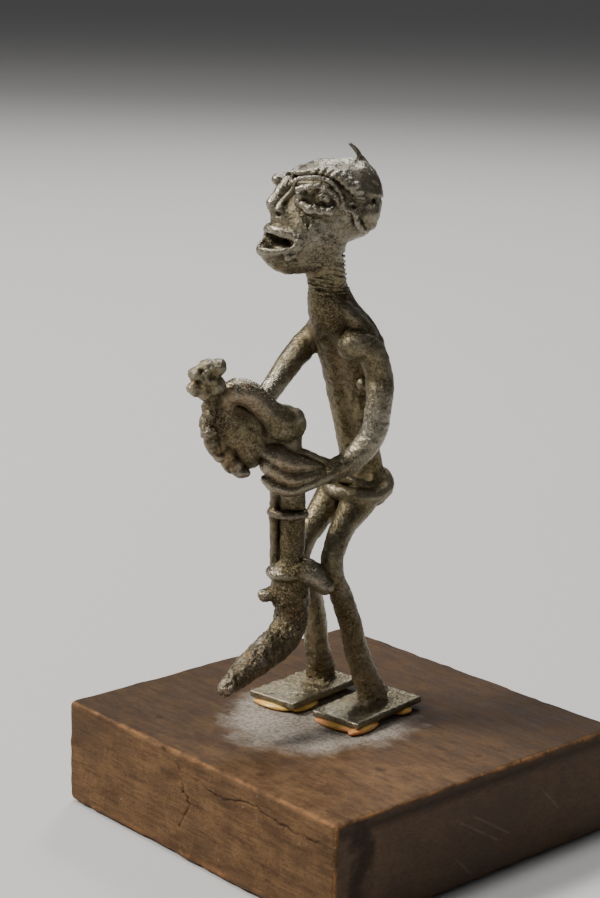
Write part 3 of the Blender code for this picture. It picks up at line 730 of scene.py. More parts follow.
def add_flask(wax):
    """The pear-shaped flask with its bent neck over the muzzle, and the pitted lump and strand beside it."""
    wax.add(Pellet((-3.75, -12.5, 32.8), (2.5, 2.55, 3.4)), 0.6)
    wax.add(Pellet((-3.5, -13.1, 34.9), (2, 2, 2.1)), 0.6)
    wax.add(Pellet((-3.55, -14.5, 34.7), (1.7, 1.7, 2.4)), 0.8)
    wax.add(Roll(((-4, -15.2, 33.4, 0.8), (-4.15, -15.9, 35.2, 0.95), (-4, -16, 36.9, 1.05))), 1.2)
    neck = ((-4, -16, 36.6, 1), (-3.5, -15.8, 38.2, 1.25), (-2.8, -15.2, 38.6, 1.45),
            (-2.1, -14.3, 38.3, 1.5), (-1.45, -13.4, 37.5, 1.42), (-0.95, -12.6, 36.6, 1.38),
            (-0.5, -11.9, 35.6, 1.4), (-0.3, -10.9, 34.5, 1.5))
    wax.add(Roll(neck), 0.06)
    wax.add(Pellet((-1.6, -11, 32.7), 1.1), 0.4)
    for x, y, z, size in ((-0.3, -10.6, 34.3, 1.8), (0.75, -9.7, 35.4, 1.1), (-0.1, -11.1, 35.7, 1.25),
                          (0.1, -8.9, 34.4, 1.3)):
        wax.add(Pellet((x, y, z), size), 0.6)
    lump = ((-3.1, -18.1, 41.6, 0.95), (-3.7, -19, 41.5, 1.05), (-4.3, -20, 40.9, 0.95),
            (-3.9, -19, 40.4, 1.3), (-4.5, -20.2, 39.4, 0.85), (-4.1, -19.2, 39, 0.95),
            (-3.3, -18.1, 39.6, 1.05), (-4.3, -17.9, 38.9, 0.9))
    for x, y, z, size in lump:
        wax.add(Pellet((x, y, z), size), 0.3)
    for x, y, z, size in ((-3.5, -20.2, 41.5, 0.25), (-2.8, -19.4, 40.9, 0.32), (-3.7, -20.5, 40.1, 0.3),
                          (-3, -19.6, 39.8, 0.36), (-4.3, -21, 40.4, 0.25), (-3.8, -20.4, 39, 0.25)):
        wax.press(Pellet((x, y, z), size), 0.35)
    wax.add(Roll(((-4.4, -16.9, 37.5, 0.7), (-4.5, -16.9, 34.5, 0.8), (-4.2, -16, 32.2, 0.8))), 0.3)
    strand = ((-4.4, -17.7, 38.4, 0.85), (-4.55, -17.8, 36.5, 0.8), (-4.6, -18, 35.2, 0.85),
              (-4.5, -17.6, 33.9, 0.85), (-4.45, -17, 32.4, 0.8), (-4.2, -16.4, 31.4, 0.7))
    wax.add(Roll(strand), 0.12)
    for n, (here, _) in enumerate(along_path(strand, 0.6)):
        swell = 0.3 * math.sin(2.4 * n)
        wax.add(Pellet(here[:3] + (swell, -swell, 0), here[3] + 0.06 * math.cos(3.1 * n)), 0.1)


def in_part_frame(mesh):
    """Take a mesh drawn in shares in the figure's frame to metres in the part's frame."""
    mesh.transform(FIGURE_PLACE @ Matrix.Scale(SHARE, 4))
    return mesh


def make_casting():
    """The whole casting as one mesh, with its wear, dirt, painted light and painted shade kept on the
    vertices.
    """
    wax = Wax()
    for add in (add_trunk, add_head, add_gun, add_flask, add_loincloth, add_legs, add_plates, add_arms,
                add_hands):
        add(wax)
    value = wax.grid(CASTING_LOW, CASTING_HIGH, CASTING_CELL)
    vertices, faces = surface_net(value)
    mesh = mesh_from("brass_casting", CASTING_LOW + (vertices + 0.5) * CASTING_CELL, faces)
    roughen_casting(mesh)
    mesh = with_fewer_faces(mesh)
    places = rows_of(mesh.vertices, "co")
    on_plate = clamp((1.3 - places[:, 2]) / 0.3)
    set_value(mesh, "hollow", buriedness(value, places, 3, 2) + PLATE_DIRT * on_plate)
    set_value(mesh, "crease", buriedness(value, places, 1, 3))
    set_value(mesh, "rough", roughness_of(places))
    # Rubbed places with painted light, khaki dirt, painted shade and copper, one number a vertex
    for name, spots in (("rubbed_and_lit", RUBBED_AND_LIT_SPOTS), ("khaki", KHAKI_SPOTS), ("painted_shade", PAINTED_SHADE_SPOTS),
                        ("copper", COPPER_SPOTS)):
        set_value(mesh, name, near_spots(places, spots))
    set_places(mesh, warped(places))
    mesh.shade_smooth()
    return new_object("brass_casting", in_part_frame(mesh))


def buriedness(value, places, thin, spread):
    """How much metal lies round each place: about a half on a flat, more in a recess, less on a ridge.

    It is averaged on every thin-th cell of the grid, over a spread of cells to each side.
    """
    solid = (value[::thin, ::thin, ::thin] < 0).astype(np.float32)
    for _ in range(2):
        for axis in range(3):
            total = sum(np.roll(solid, n, axis) for n in range(-spread, spread + 1))
            solid = total / (2 * spread + 1)
    spots = (places - CASTING_LOW) / CASTING_CELL / thin
    base = np.clip(np.floor(spots).astype(int), 0, np.array(solid.shape) - 2)
    t = spots - base
    found = np.zeros(len(places))
    for corner in product((0, 1), repeat=3):
        found += solid[tuple((base + corner).T)] * np.where(corner, t, 1 - t).prod(1)
    return found


# Where the skin differs: (x, y, z, reach) in shares, and how much dirtier the plates are
PLATE_DIRT = 0.17
ROUGH_SPOTS = ((-1, -9, 12, 6), (-1.2, -14, 7.6, 5), (-1.4, -18, 6, 4), (-3.1, -13.5, 33, 3.2),
               (-4, -19.2, 40.4, 3.4), (-4.5, -17.6, 35, 3), (4.65, 0, 0.5, 7.5), (-4.65, 0, 0.5, 7.5),
               (2, -6.5, 53.5, 3.2), (0, -4, 50.5, 3), (3.6, -2.2, 57.3, 2.4), (*on_head((3, 3.4, 2.3)), 2.4))
KHAKI_SPOTS = ((*on_head((4.6, 2.3, 0.2)), 1.8), (*on_head((-0.5, 3.4, -3)), 1.6), (4.2, -1.6, 57.4, 2.6),
               (*on_head((3.2, 3, 2.4)), 1.7), (1.5, -5, 50.8, 2.6), (0.5, 0.5, 34, 8), (1.5, 2.5, 27, 5.5),
               (-3.5, -1.5, 11, 9), (-2.9, -14.4, 33.2, 3.4), (-4, -19.4, 40.4, 3), (-4.6, -2, 1, 6),
               (4.6, -2, 1, 6))
# Painted shade: the barrel, stock, butt, trunk, near leg, strand and the neck under the jaw made darker where
# they lie in shade
PAINTED_SHADE_SPOTS = ((-0.5, -8.5, 23, 6), (-0.8, -8.2, 14, 6), (-1, -11, 9, 5), (-1.3, -16, 6.6, 5),
              (0.5, -3, 45.5, 5), (0.5, -1.5, 39, 6.5), (0.8, 1.5, 31, 6), (3.5, -2, 12, 7),
              (-4.4, -17.6, 35, 3.5), (*on_head((1.6, 3, -3.2)), 2.4))
# Rubbed places, and also painted light: lit places on the head, a cheek, the arms, the hand, the flask's
# neck, the lock, the stock's edge, the far leg and the plates, made lighter, greyer and glossier
RUBBED_AND_LIT_SPOTS = ((0, -4.4, 58.5, 9.5), (6.2, -2.5, 34, 5.5), (-4.7, -8, 37, 4.5), (0, -11, 29.5, 4.4),
                 (-2, -14.5, 38.5, 4), (-3.6, -1.5, 9, 7), (2.4, -7.6, 17, 2), (-1.6, -10.2, 17.2, 1.5),
                 (-1.9, -12.4, 10, 1.4), (-2, -15.4, 8.4, 1.2), (*on_head((3.8, 4, -1)), 4.2),
                 (4.65, -3.5, 1.2, 5), (-4.65, -3.5, 1.2, 3.5))
COPPER_SPOTS = ((-1.5, -18.6, 5.6, 1.8), (-1.9, -14.4, 8.6, 1.6), (0.6, -11.2, 29.2, 3.4),
                (-2, -14.8, 38.2, 3.6), (-3.6, -15.5, 31.5, 2.4), (4.9, -0.4, 3, 2.2), (0.4, -1.6, 41.5, 1.5))

# Crown of the hair on the head: forward, left and up
HAIR_CROWN = np.array((-4.6, 0, 4.6))


def warped(places):
    """Places nudged by smooth noise, so that nothing stays straight but the plates' undersides."""
    hold = clamp(places[:, 2] / 1.5)[:, None]
    moved = places.copy()
    for size, reach, seed in ((3, 0.12, 21), (1.2, 0.07, 31), (0.6, 0.03, 41)):
        moved += reach * np.stack([lumps(places, size, seed + n) for n in range(3)], 1) * hold
    return moved


def hair_strokes(places):
    """Fine strokes that sweep over the cap of hair from its crown."""
    spots = (places - HEAD_CENTRE) @ HEAD_AXES
    above = clamp(above_hair_edge(spots[:, 0], spots[:, 2]) / 0.5)
    near_head = np.linalg.norm(spots, axis=1) < 9
    from_crown = spots - HAIR_CROWN
    angle = np.arctan2(from_crown[:, 1], from_crown[:, 0])
    reach = np.linalg.norm(from_crown, axis=1)
    rows = np.stack([angle * 6, reach / 3, np.zeros(len(places))], 1)
    return lumps(rows, 1, 7) * above * near_head * clamp(reach / 2 - 0.3)


def arm_marks(places):
    """Short scratches across the outside of the near upper arm."""
    reach = np.linalg.norm((places - (7.6, -2, 35.6)) / (1.8, 2, 2.6), axis=1)
    return clamp(1.3 - 1.3 * reach) * clamp(lumps(places * (0.25, 0.25, 1), 0.24, 8))


def roughness_of(places):
    """From 0 to 1, how coarse the skin is: most in the rough spots, and a little all over the head."""
    head = clamp(9.5 - np.linalg.norm(places - HEAD_CENTRE, axis=1))
    return np.maximum(near_spots(places, ROUGH_SPOTS), 0.15 * head)


def roughen_casting(mesh):
    """Uneven skin, coarse grain on the stock, flask and plates, strokes in the hair and marks on an arm."""
    places = rows_of(mesh.vertices, "co")
    rough = roughness_of(places)
    skin = layered(places, (0.03, 0.9, 2), (0.035, 0.42, 5), (0.03, 0.27, 6))
    grain = layered(places, (0.06, 0.6, 3), (0.12, 0.36, 4))
    grain += 0.08 * lumps(places * (1, 1, 2), 0.3, 9)
    height = skin + rough * grain + 0.13 * hair_strokes(places) - 0.1 * arm_marks(places)
    height *= clamp(places[:, 2] / 0.3)
    set_places(mesh, places + rows_of(mesh.vertex_normals, "vector") * height[:, None])


class Nodes:
    """A material's node tree, written as small sums."""

    def __init__(self, name):
        self.material = bpy.data.materials.new(name)
        self.material.use_nodes = True
        self.tree = self.material.node_tree
        self.shader = self.tree.nodes["Principled BSDF"]
        self.place = self.add("ShaderNodeTexCoord").outputs["Object"]

    def add(self, kind, inputs=None, **settings):
        """A node with its settings and its linked or fixed inputs."""
        node = self.tree.nodes.new(kind)
        for key, value in settings.items():
            setattr(node, key, value)
        for key, value in (inputs or {}).items():
            self.put(node.inputs[key], value)
        return node

    def put(self, socket, value):
        """Link a socket or fix its value."""
        if isinstance(value, bpy.types.NodeSocket):
            self.tree.links.new(value, socket)
        else:
            socket.default_value = value

    def attribute(self, name):
        """A number kept on the vertices."""
        return self.add("ShaderNodeAttribute", attribute_name=name).outputs["Fac"]

    def sum(self, operation, *values):
        """Arithmetic on numbers."""
        return self.add("ShaderNodeMath", dict(enumerate(values)), operation=operation).outputs[0]

    def noise(self, scale, detail=3, roughness=0.55, place=None):
        """Smooth noise, about 0 to 1."""
        inputs = {"Vector": place or self.place, "Scale": scale, "Detail": detail, "Roughness": roughness}
        return self.add("ShaderNodeTexNoise", inputs).outputs["Fac"]

    def stretched(self, scale):
        """The object's place, stretched along its axes."""
        return self.add("ShaderNodeMapping", {"Vector": self.place, "Scale": scale}).outputs[0]

    def between(self, value, low, high, start=0, end=1):
        """A number taken smoothly from one range to another, and held at its ends."""
        inputs = {"Value": value, "From Min": low, "From Max": high, "To Min": start, "To Max": end}
        return self.add("ShaderNodeMapRange", inputs, interpolation_type="SMOOTHSTEP").outputs[0]

    def times(self, *values):
        """Numbers multiplied."""
        return self.sum("MULTIPLY", *values)

    def mix(self, share, a, b, blend="MIX"):
        """Two colours mixed by a share."""
        node = self.add("ShaderNodeMix", data_type="RGBA", blend_type=blend)
        for socket, value in zip((node.inputs[0], node.inputs[6], node.inputs[7]), (share, a, b)):
            if isinstance(value, tuple) and len(value) == 3:
                value = (*value, 1)
            self.put(socket, value)
        return node.outputs[2]

    def bump(self, height, distance):
        """Bumps from a height, its distance in metres."""
        bumps = self.add("ShaderNodeBump", {"Height": height, "Distance": distance})
        self.put(self.shader.inputs["Normal"], bumps.outputs[0])


# Colours of the metal's skin and of what lies on it
OLIVE_DARK = (0.062, 0.047, 0.022)
OLIVE = (0.132, 0.107, 0.055)
GRAIN_TAN = (0.29, 0.245, 0.155)
# Grey of rubbing, also laid on as painted light
RUBBED_AND_LIT_GREY = (0.35, 0.325, 0.265)
COPPER_TINT = (0.27, 0.18, 0.09)
# Bare copper, also used for painted copper glints
BARE_COPPER_AND_GLINT = (0.4, 0.225, 0.125)
WORN_SILVER = (0.42, 0.39, 0.325)
PIT = (0.05, 0.036, 0.018)
KHAKI = (0.3, 0.25, 0.135)
DIRT = (0.18, 0.138, 0.065)
DEEP_DIRT = (0.03, 0.017, 0.008)
CREASE = (0.045, 0.024, 0.01)
# Tint that darkens the colour as painted shade
PAINTED_SHADE_TINT = (0.42, 0.34, 0.26)
# Pale specks painted as glints
PAINTED_GLINT = (0.44, 0.38, 0.29)


def brass_material():
    """Olive-brown patina with a fine cast grain, khaki dirt in the recesses, grey wear on what stands out,
    painted light on the rubbed and lit places, painted shade over the middle of the figure, and painted
    glints on the rough skin.
    """
    n = Nodes("aged_brass")
    hollow, rough, rubbed_and_lit, copper = map(n.attribute, ("hollow", "rough", "rubbed_and_lit", "copper"))
    broad = n.noise(160, 6, 0.7)
    fine = n.noise(1300, 6, 0.7)
    grain = n.noise(4800, 4, 0.65)
    pits = n.noise(3800, 4, 0.6)
    uneven = n.sum("SUBTRACT", n.sum("ADD", fine, n.times(grain, 0.7)), 0.85)
    uneven = n.times(uneven, 0.3)
    patchy = n.sum("ADD", fine, uneven)
    worn = n.between(n.sum("ADD", hollow, uneven), 0.42, 0.26)
    # Worn, rubbed and painted-lit places, where fewer dark pits show
    worn_rubbed_and_lit = n.sum("MAXIMUM", rubbed_and_lit, worn)

    pocked = n.times(n.between(pits, 0.55, 0.68, 0, 0.6), n.between(worn_rubbed_and_lit, 0.3, 1, 1, 0.35))
    khaki = n.times(n.attribute("khaki"), n.between(patchy, 0.38, 0.6, 0, 0.7))
    dirt_edge = n.sum("ADD", hollow, n.times(uneven, 1.3))
    dirt = n.between(dirt_edge, 0.5, 0.62)
    crease = n.between(n.sum("ADD", n.attribute("crease"), n.times(uneven, 0.6)), 0.6, 0.74)
    colour = n.mix(n.between(broad, 0.38, 0.62), OLIVE_DARK, OLIVE)
    for share, tint in (
        (n.between(grain, 0.44, 0.62, 0, 0.75), GRAIN_TAN),
        # Rubbed grey, partly painted light on the lit places
        (n.times(rubbed_and_lit, n.between(fine, 0.38, 0.6, 0.2, 0.8)), RUBBED_AND_LIT_GREY),
        (n.times(copper, 0.4), COPPER_TINT),
        (pocked, PIT),
        (n.times(worn, 0.4), WORN_SILVER),
        (khaki, KHAKI),
        (n.times(dirt, 0.6), DIRT),
        (n.times(n.between(dirt_edge, 0.68, 0.8), 0.9), DEEP_DIRT),
        (n.times(crease, 0.85), CREASE),
    ):
        colour = n.mix(share, colour, tint)
    # Painted shade: darker, in patches, over the painted-shade spots, less on the rubbed and lit places
    painted_shade = n.times(n.attribute("painted_shade"), n.between(patchy, 0.34, 0.6, 0.8, 0.35))
    painted_shade = n.times(painted_shade, n.between(rubbed_and_lit, 0, 1, 1, 0.2))
    colour = n.mix(painted_shade, colour, n.mix(1, colour, PAINTED_SHADE_TINT, "MULTIPLY"))

    # Painted glints: pale specks on the rough skin, and a few over the whole head
    colour = n.mix(n.times(rough, n.between(grain, 0.54, 0.63, 0, 0.6)), colour, PAINTED_GLINT)
    # Painted copper glints: coppery specks on the rough skin; below, specks of bare copper in the copper
    # spots
    speckled = n.times(rough, n.between(n.noise(1500, 3), 0.6, 0.68, 0, 0.5))
    bare = n.times(copper, n.between(fine, 0.5, 0.64, 0, 0.45))
    colour = n.mix(n.sum("MAXIMUM", speckled, bare), colour, BARE_COPPER_AND_GLINT)
    n.put(n.shader.inputs["Base Color"], colour)

    plain = n.sum("MAXIMUM", n.times(dirt, 0.7), n.times(khaki, 0.45))
    n.put(n.shader.inputs["Metallic"], n.between(plain, 0, 1, 0.93, 0.2))
    matt = n.between(grain, 0.3, 0.7, 0.3, 0.46)
    matt = n.sum("SUBTRACT", matt, n.times(rubbed_and_lit, 0.07))
    matt = n.sum("SUBTRACT", matt, n.times(worn, 0.04))
    n.put(n.shader.inputs["Roughness"], n.sum("ADD", matt, n.times(plain, 0.3)))
    pitted = n.between(pits, 0.5, 0.7, 0, -1)
    grit = n.times(grain, n.between(rough, 0, 1, 0.9, 2))
    n.bump(n.sum("ADD", n.sum("ADD", fine, n.times(pitted, 0.7)), grit), 0.00005)
    return n.material


# Colours of the wood and of what lies on it
WALNUT_DARK = (0.068, 0.034, 0.015)
WALNUT = (0.14, 0.076, 0.034)
WALNUT_PALE = (0.205, 0.118, 0.054)
STAIN = (0.058, 0.036, 0.02)
FIBRE = (0.04, 0.02, 0.01)
PORE = (0.03, 0.016, 0.009)
GREY_SIDE = (0.105, 0.08, 0.066)
# Painted shade, also the colour of a smear on the side
PAINTED_SHADE_AND_SMEAR = (0.014, 0.009, 0.006)
FLECK = (0.26, 0.23, 0.2)
# Worn edges, also the colour of a painted highlight along the bottom front edge
WORN_AND_LIT_EDGE = (0.27, 0.125, 0.05)
SCRATCH = (0.24, 0.2, 0.165)
DUST = (0.33, 0.29, 0.24)
CRACK = (0.024, 0.012, 0.006)


def wood_material():
    """Dark walnut: mottled brown, greyer on one side, worn orange edges with a painted highlight along the
    bottom front one, painted shade, a smear, scratches, cracks and dust.
    """
    n = Nodes("worn_walnut")
    streak = n.noise(70, 8, 0.75, n.stretched((1.6, 8, 14)))
    mottle = n.noise(330, 7, 0.75)
    broad = n.noise(75, 5, 0.6)
    fine = n.noise(2200, 5, 0.7)
    fibre = n.noise(420, 5, 0.7, n.stretched((0.6, 3, 6)))
    wood = n.mix(n.between(streak, 0.32, 0.7), WALNUT_DARK, WALNUT)
    for pattern, low, high, most, colour in (
        (mottle, 0.4, 0.64, 0.55, WALNUT_PALE),
        (broad, 0.5, 0.72, 0.45, STAIN),
        (fibre, 0.46, 0.66, 0.4, FIBRE),
        (fine, 0.54, 0.7, 0.5, PORE),
    ):
        wood = n.mix(n.between(pattern, low, high, 0, most), wood, colour)
    wood = n.mix(n.times(n.attribute("cool"), 0.5), wood, GREY_SIDE)
    # Painted shade round the plates and over the far part of the top, a darker band under the side's top
    # edge, and a real smear on the side
    wood = n.mix(n.attribute("painted_shade_and_smear"), wood, PAINTED_SHADE_AND_SMEAR)
    wood = n.mix(n.between(n.noise(1700, 2), 0.72, 0.78, 0, 0.55), wood, FLECK)
    # Worn orange edges, with a painted highlight along the bottom of the front
    edge = n.times(n.attribute("worn"), n.between(mottle, 0.4, 0.56, 0.1, 0.95))
    wood = n.mix(edge, wood, WORN_AND_LIT_EDGE)
    wood = n.mix(n.times(n.attribute("scratched"), 0.45), wood, SCRATCH)
    dust = n.times(n.attribute("dust"), n.between(fine, 0.42, 0.6, 0.95, 0.45))
    wood = n.mix(dust, wood, DUST)
    wood = n.mix(n.times(n.attribute("crack"), 0.8), wood, CRACK)
    n.put(n.shader.inputs["Base Color"], wood)
    n.put(n.shader.inputs["Roughness"], n.between(mottle, 0.3, 0.7, 0.5, 0.75))
    n.shader.inputs["Specular IOR Level"].default_value = 0.12
    n.bump(n.sum("ADD", n.sum("ADD", fibre, mottle), n.times(fine, 0.6)), 0.00015)
    return n.material


# Colours of the wax and of the floor
WAX_ORANGE = (0.78, 0.34, 0.12)
WAX_YELLOW = (0.8, 0.52, 0.13)
WAX_BROWN = (0.6, 0.24, 0.06)
PAPER = (0.5, 0.49, 0.475)
PAPER_PALE = (0.53, 0.52, 0.505)


def wax_material():
    """Amber wax: clouded, warm and glossy."""
    n = Nodes("amber_wax")
    cloud = n.noise(500, 4)
    colour = n.mix(n.between(n.noise(150, 2), 0.42, 0.58), WAX_ORANGE, WAX_YELLOW)
    colour = n.mix(n.between(cloud, 0.5, 0.7, 0, 0.5), colour, WAX_BROWN)
    n.put(n.shader.inputs["Base Color"], colour)
    n.shader.inputs["Subsurface Weight"].default_value = 0.5
    n.shader.inputs["Subsurface Radius"].default_value = (1, 0.45, 0.15)
    n.shader.inputs["Subsurface Scale"].default_value = 0.0005
    n.put(n.shader.inputs["Roughness"], n.between(cloud, 0.3, 0.7, 0.2, 0.38))
    n.bump(n.noise(2400, 3), 0.00005)
    return n.material


def floor_material():
    """Plain pale studio paper."""
    n = Nodes("pale_floor")
    n.put(n.shader.inputs["Base Color"], n.mix(n.noise(3, 2), PAPER, PAPER_PALE))
    n.shader.inputs["Roughness"].default_value = 0.9
    return n.material


# Grid on the block's faces, and how deep its cracks are
BLOCK_CELLS = (0.00016, 0.0002, 0.00013)
CRACK_DEPTH = 0.00018

# Marks on the block as broken lines, in millimetres: on the front (across from its left, up), then on
# the figure's left side (back from the front, up), and dents in the top (x, y, reach)
MM = 0.001
FRONT_CRACKS = (
    ((20.2, 10.8), (21.5, 10.3), (24.5, 9.9), (28.1, 9.6), (30, 9.7), (31.8, 10.2), (33.5, 10.4),
     (36.6, 9.8), (39.1, 9.4), (42, 9.8), (44.8, 9.6)),
    ((20.8, 9.8), (21.3, 8.1), (22.7, 6.9), (21.7, 5.3), (20.9, 3.8)),
    ((10.4, 8), (11, 6.6), (11, 5.2)),
    ((17.4, 12.4), (18.1, 11.6)),
)
SIDE_SCRATCHES = (
    ((18.6, 7.5), (24.4, 4)), ((17.8, 8), (21.5, 5.8)), ((20.5, 7.8), (26.2, 4.3)),
    ((17.7, 3.8), (21.1, 0.3)), ((31, 8.5), (34.5, 5)),
)
SIDE_SMEAR = ((3.4, 11), (4, 8), (3, 3))
DENTS = ((15, -8, 0.7), (19, 3, 0.5), (8, -19, 0.6), (-12, -17, 0.6))


def gap_to_line(across, up, line):
    """Least distance from flat points to a broken line of millimetres."""
    best = np.full(len(across), FAR)
    line = np.array(line) * MM
    for (x0, z0), (x1, z1) in zip(line[:-1], line[1:]):
        wide, tall = x1 - x0, z1 - z0
        t = clamp(((across - x0) * wide + (up - z0) * tall) / (wide * wide + tall * tall))
        best = np.minimum(best, np.hypot(across - x0 - t * wide, up - z0 - t * tall))
    return best


def block_shell(low, high):
    """A finely divided box, its faces on the block's box."""
    size, middle = high - low, (high + low) / 2
    counts = [round(s / c) for s, c in zip(size, BLOCK_CELLS)]
    shell = bmesh.new()
    for axis, sign in product(range(3), (1, -1)):
        side, up = (axis + 1) % 3, (axis + 2) % 3
        columns = [Vector((0, 0, 0)) for _ in range(3)]
        columns[0][side] = size[side] / 2
        columns[1][up] = size[up] / 2 * sign
        columns[2][axis] = size[axis] / 2 * sign
        turn = Matrix(columns).transposed().to_4x4()
        place = Matrix.Translation(middle) @ turn @ Matrix.Translation((0, 0, 1))
        bmesh.ops.create_grid(shell, x_segments=counts[side], y_segments=counts[up], size=1, matrix=place)
    bmesh.ops.remove_doubles(shell, verts=shell.verts, dist=1e-6)
    bmesh.ops.recalc_face_normals(shell, faces=shell.faces)
    mesh = bpy.data.meshes.new("walnut_block")
    shell.to_mesh(mesh)
    shell.free()
    return mesh


def near_lines(across, up, lines, width):
    """From 0 to 1, how close flat points are to the nearest of some broken lines."""
    gaps = [gap_to_line(across, up, line) for line in lines]
    return clamp(1.4 - np.min(gaps, axis=0) / width)


def dust_on(places):
    """How thick pale dust lies, in a soft speckled patch round the plates, and how near a plate is."""
    figure = np.array(FIGURE_PLACE.inverted())
    local = (places @ figure[:3, :3].T + figure[:3, 3]) / SHARE
    ring = np.hypot((local[:, 0] - 1) / 11.6, (local[:, 1] + 4.4) / 12.2)
    edge = layered(places, (0.12, 0.005, 16), (0.09, 0.0013, 17), (0.06, 0.0005, 19))
    dust = clamp((1.0 - ring + edge) * 3.5)
    past_side = np.abs(np.abs(local[:, 0]) - PLATE_ASIDE) - PLATE_HALF[0]
    past = np.maximum(past_side, np.abs(local[:, 1]) - PLATE_HALF[1])
    return dust, clamp(1.1 - past / 0.8)


def make_block():
    """The wooden block: worn edges, an uneven skin, cracks in its front and scratches on one side.

    All its marks are kept on the vertices: wear with a painted highlight along the bottom front edge, cracks,
    dust, painted shade with a smear, scratches and the greyer side.
    """
    low, high = np.array(block_low), np.array(block_high)
    mesh = block_shell(low, high)
    places = rows_of(mesh.vertices, "co")
    radius = BLOCK_EDGE * (1 + layered(places, (0.35, 0.004, 11), (0.25, 0.0012, 12)))[:, None]
    inner = np.clip(places, low + radius, high - radius)
    way = places - inner
    normal = way / np.maximum(np.linalg.norm(way, axis=1, keepdims=True), 1e-9)
    places = inner + normal * radius
    skin = 0.00003 * lumps(places * (0.5, 2, 2), 0.004, 13) - 0.00004
    skin += 0.00001 * lumps(places * (0.3, 2, 2), 0.0008, 14)
    top, side, front = clamp((np.array((normal[:, 2], normal[:, 0], -normal[:, 1])) - 0.85) * 10)
    wander = layered(places, (0.0002, 0.0014, 15), (0.00022, 0.0006, 21), (0.0001, 0.0003, 22))
    across, back, up = places[:, 0] - low[0] + wander, places[:, 1] - low[1], places[:, 2] + wander
    broken = clamp(1.0 + 1.1 * lumps(places, 0.0016, 18))
    crack = near_lines(across, up, FRONT_CRACKS, 0.0001) * front * broken
    for x, y, reach in np.array(DENTS) * MM:
        gap = np.hypot(places[:, 0] - x, places[:, 1] - y) / reach
        crack = np.maximum(crack, 0.6 * clamp(1.3 - gap) * top)
    above = clamp((places[:, 2] - low[2]) / 0.0006)
    set_places(mesh, places + normal * ((skin - CRACK_DEPTH * crack) * above)[:, None])
    ordered = np.sort(np.abs(normal), axis=1)
    # Painted highlight: a lit line along the bottom of the front face, laid on with the worn edges
    foot = clamp(1 - np.abs(places[:, 2] - low[2] - 0.0007) / 0.0005) * front
    worn = np.maximum(clamp((ordered[:, 1] - 0.42) * 6), foot)
    set_value(mesh, "worn", worn * clamp(0.5 + 1.0 * lumps(places, 0.0016, 20)))
    set_value(mesh, "crack", crack)
    dust, under = dust_on(places)
    set_value(mesh, "dust", dust * top)
    smear = near_lines(back + 4 * wander, up, (SIDE_SMEAR,), 0.0016) * side * broken
    band = clamp(1 - np.abs(high[2] - 0.0012 - places[:, 2]) / 0.0010) * side
    # Painted shade: the top darker away from its front corner and round the plates; a darker band under the
    # side's top edge; the smear is real
    corner = np.hypot(places[:, 0] - high[0], places[:, 1] - low[1])
    far_top = top * np.clip((corner - 0.012) / 0.04, 0, 0.55)
    set_value(mesh, "painted_shade_and_smear", np.maximum.reduce([0.9 * under * top, 0.7 * smear, 0.6 * band, far_top]))
    set_value(mesh, "scratched", near_lines(back, places[:, 2], SIDE_SCRATCHES, 0.00008) * side * broken)
    set_value(mesh, "cool", side)
    mesh = with_fewer_faces(mesh)
    mesh.shade_smooth()
    return new_object("walnut_block", mesh)


# How far a pad stops short of its plate's edges, and the lumps of wax squeezed out round it:
# (x, y, how long, how wide), all in shares
PAD_INSET = 0.8
WAX_LUMPS = {
    "left": ((4.6, -5.6, 5.4, 1.5), (7.5, -4.4, 1.1, 4.4), (7.4, 3.2, 1.1, 2), (3.2, 5.4, 2.4, 1)),
    "right": ((-5, -5.5, 4.8, 1.5), (-7.4, 2, 1.2, 2.6), (-4.8, 5.4, 2.4, 1), (-1.9, -3.4, 1, 3.6)),
}


def make_wax(node):
    """A pad of amber wax under one plate, with rounded lumps squeezed out round its edge."""
    side = node.split("_")[1]
    low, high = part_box(node)
    thick = (high.z - low.z) / SHARE
    level = (low.z - figure_low.z) / SHARE
    wax = Wax()
    middle = PLATE_ASIDE if side == "left" else -PLATE_ASIDE
    half = (PLATE_HALF[0] - PAD_INSET, PLATE_HALF[1] - PAD_INSET, thick / 2)
    wax.add(Slab((middle, 0, level + thick / 2), half))
    for x, y, wide, deep in WAX_LUMPS[side]:
        wax.add(Pellet((x, y, level + 0.25), (wide / 2 + 0.35, deep / 2 + 0.35, thick)), 0.1)
    low = np.array((middle - 5, -9, level - 0.5))
    high = np.array((middle + 5, 9, level + thick + 0.6))
    value = wax.grid(low, high, PAD_CELL)
    heights = low[2] + (np.arange(value.shape[2]) + 0.5) * PAD_CELL
    value = np.maximum(value, np.maximum(level - heights, heights - level - thick - 0.2)).astype(np.float32)
    vertices, faces = surface_net(value)
    mesh = mesh_from(f"amber_wax_{side}", low + (vertices + 0.5) * PAD_CELL, faces)
    places = rows_of(mesh.vertices, "co")
    inside = (places[:, 2] > level + 0.1) & (places[:, 2] < level + thick - 0.1)
    places[:, :2] += 0.12 * np.stack([lumps(places, 0.9, 51), lumps(places, 0.9, 52)], 1) * inside[:, None]
    set_places(mesh, places)
    mesh.shade_smooth()
    return new_object(f"amber_wax_{side}", in_part_frame(mesh))


def finish_piece(piece, material, node):
    """Give a piece its material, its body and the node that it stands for."""
    piece.data.materials.append(material)
    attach(piece, "root")
    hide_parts(node)


# Camera, from the block's edges in the photograph
CAMERA_PLACE = Vector((0.1573, -0.1508, 0.0953))
CAMERA_AZIMUTH = math.radians(47.645)
CAMERA_ELEVATION = math.radians(13.326)
CAMERA_ROLL = math.radians(1.420)
FOCAL_PIXELS = 1992.88
PICTURE_HEIGHT = 898


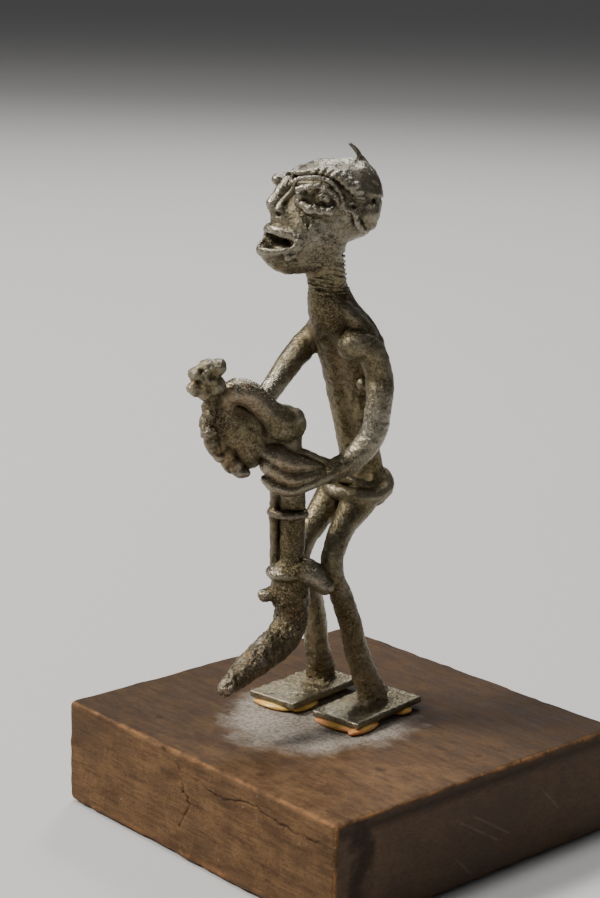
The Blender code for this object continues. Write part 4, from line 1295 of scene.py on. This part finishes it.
def make_camera():
    """The camera at the photograph's place."""
    camera = bpy.data.cameras.new("camera")
    camera.sensor_width = 36
    camera.lens = camera.sensor_width * FOCAL_PIXELS / PICTURE_HEIGHT
    camera.clip_start = 0.01
    made = new_object("camera", camera)
    level = Matrix.Translation(CAMERA_PLACE) @ Matrix.Rotation(CAMERA_AZIMUTH, 4, "Z")
    tilted = level @ Matrix.Rotation(math.pi / 2 - CAMERA_ELEVATION, 4, "X")
    made.matrix_world = tilted @ Matrix.Rotation(CAMERA_ROLL, 4, "Z")
    bpy.context.scene.camera = made


# Studio, in metres and watts: soft square lights (name, place, size, power, colour) and what they aim at
LIGHTS = (
    ("key", (-0.55, -0.75, 0.9), 0.26, 22, (1, 0.97, 0.93)),
    ("top", (-0.15, -0.1, 1.2), 0.35, 8, (1, 1, 1)),
    ("rim", (-0.5, 0.6, 0.7), 0.25, 4, (0.95, 0.97, 1)),
)
LIT_PLACE = Vector((0, 0, 0.035))
FLOOR_SIZE = 40
FLOOR_LEVEL = -0.0002
SURROUND_COLOUR = (0.9, 0.92, 0.95, 1)
SURROUND_STRENGTH = 0.12


def make_studio():
    """Pale floor, soft lights and a dim even surround."""
    bpy.ops.mesh.primitive_grid_add(x_subdivisions=2, y_subdivisions=2, size=FLOOR_SIZE,
                                    location=(0, 0, FLOOR_LEVEL))
    floor = bpy.context.object
    floor.name = "floor"
    floor.data.materials.append(floor_material())
    for name, place, size, power, colour in LIGHTS:
        light = bpy.data.lights.new(name, "AREA")
        light.size = size
        light.energy = power
        light.color = colour
        lamp = new_object(name, light)
        lamp.location = place
        lamp.rotation_euler = (LIT_PLACE - lamp.location).to_track_quat("-Z", "Y").to_euler()
    world = bpy.data.worlds.new("surround")
    world.use_nodes = True
    surround = world.node_tree.nodes["Background"].inputs
    surround["Color"].default_value = SURROUND_COLOUR
    surround["Strength"].default_value = SURROUND_STRENGTH
    bpy.context.scene.world = world


casting = make_casting()
finish_piece(casting, brass_material(), "brass_figure")
block = make_block()
finish_piece(block, wood_material(), "wooden_block")
for node in ("wax_left", "wax_right"):
    finish_piece(make_wax(node), wax_material(), node)
make_camera()
make_studio()
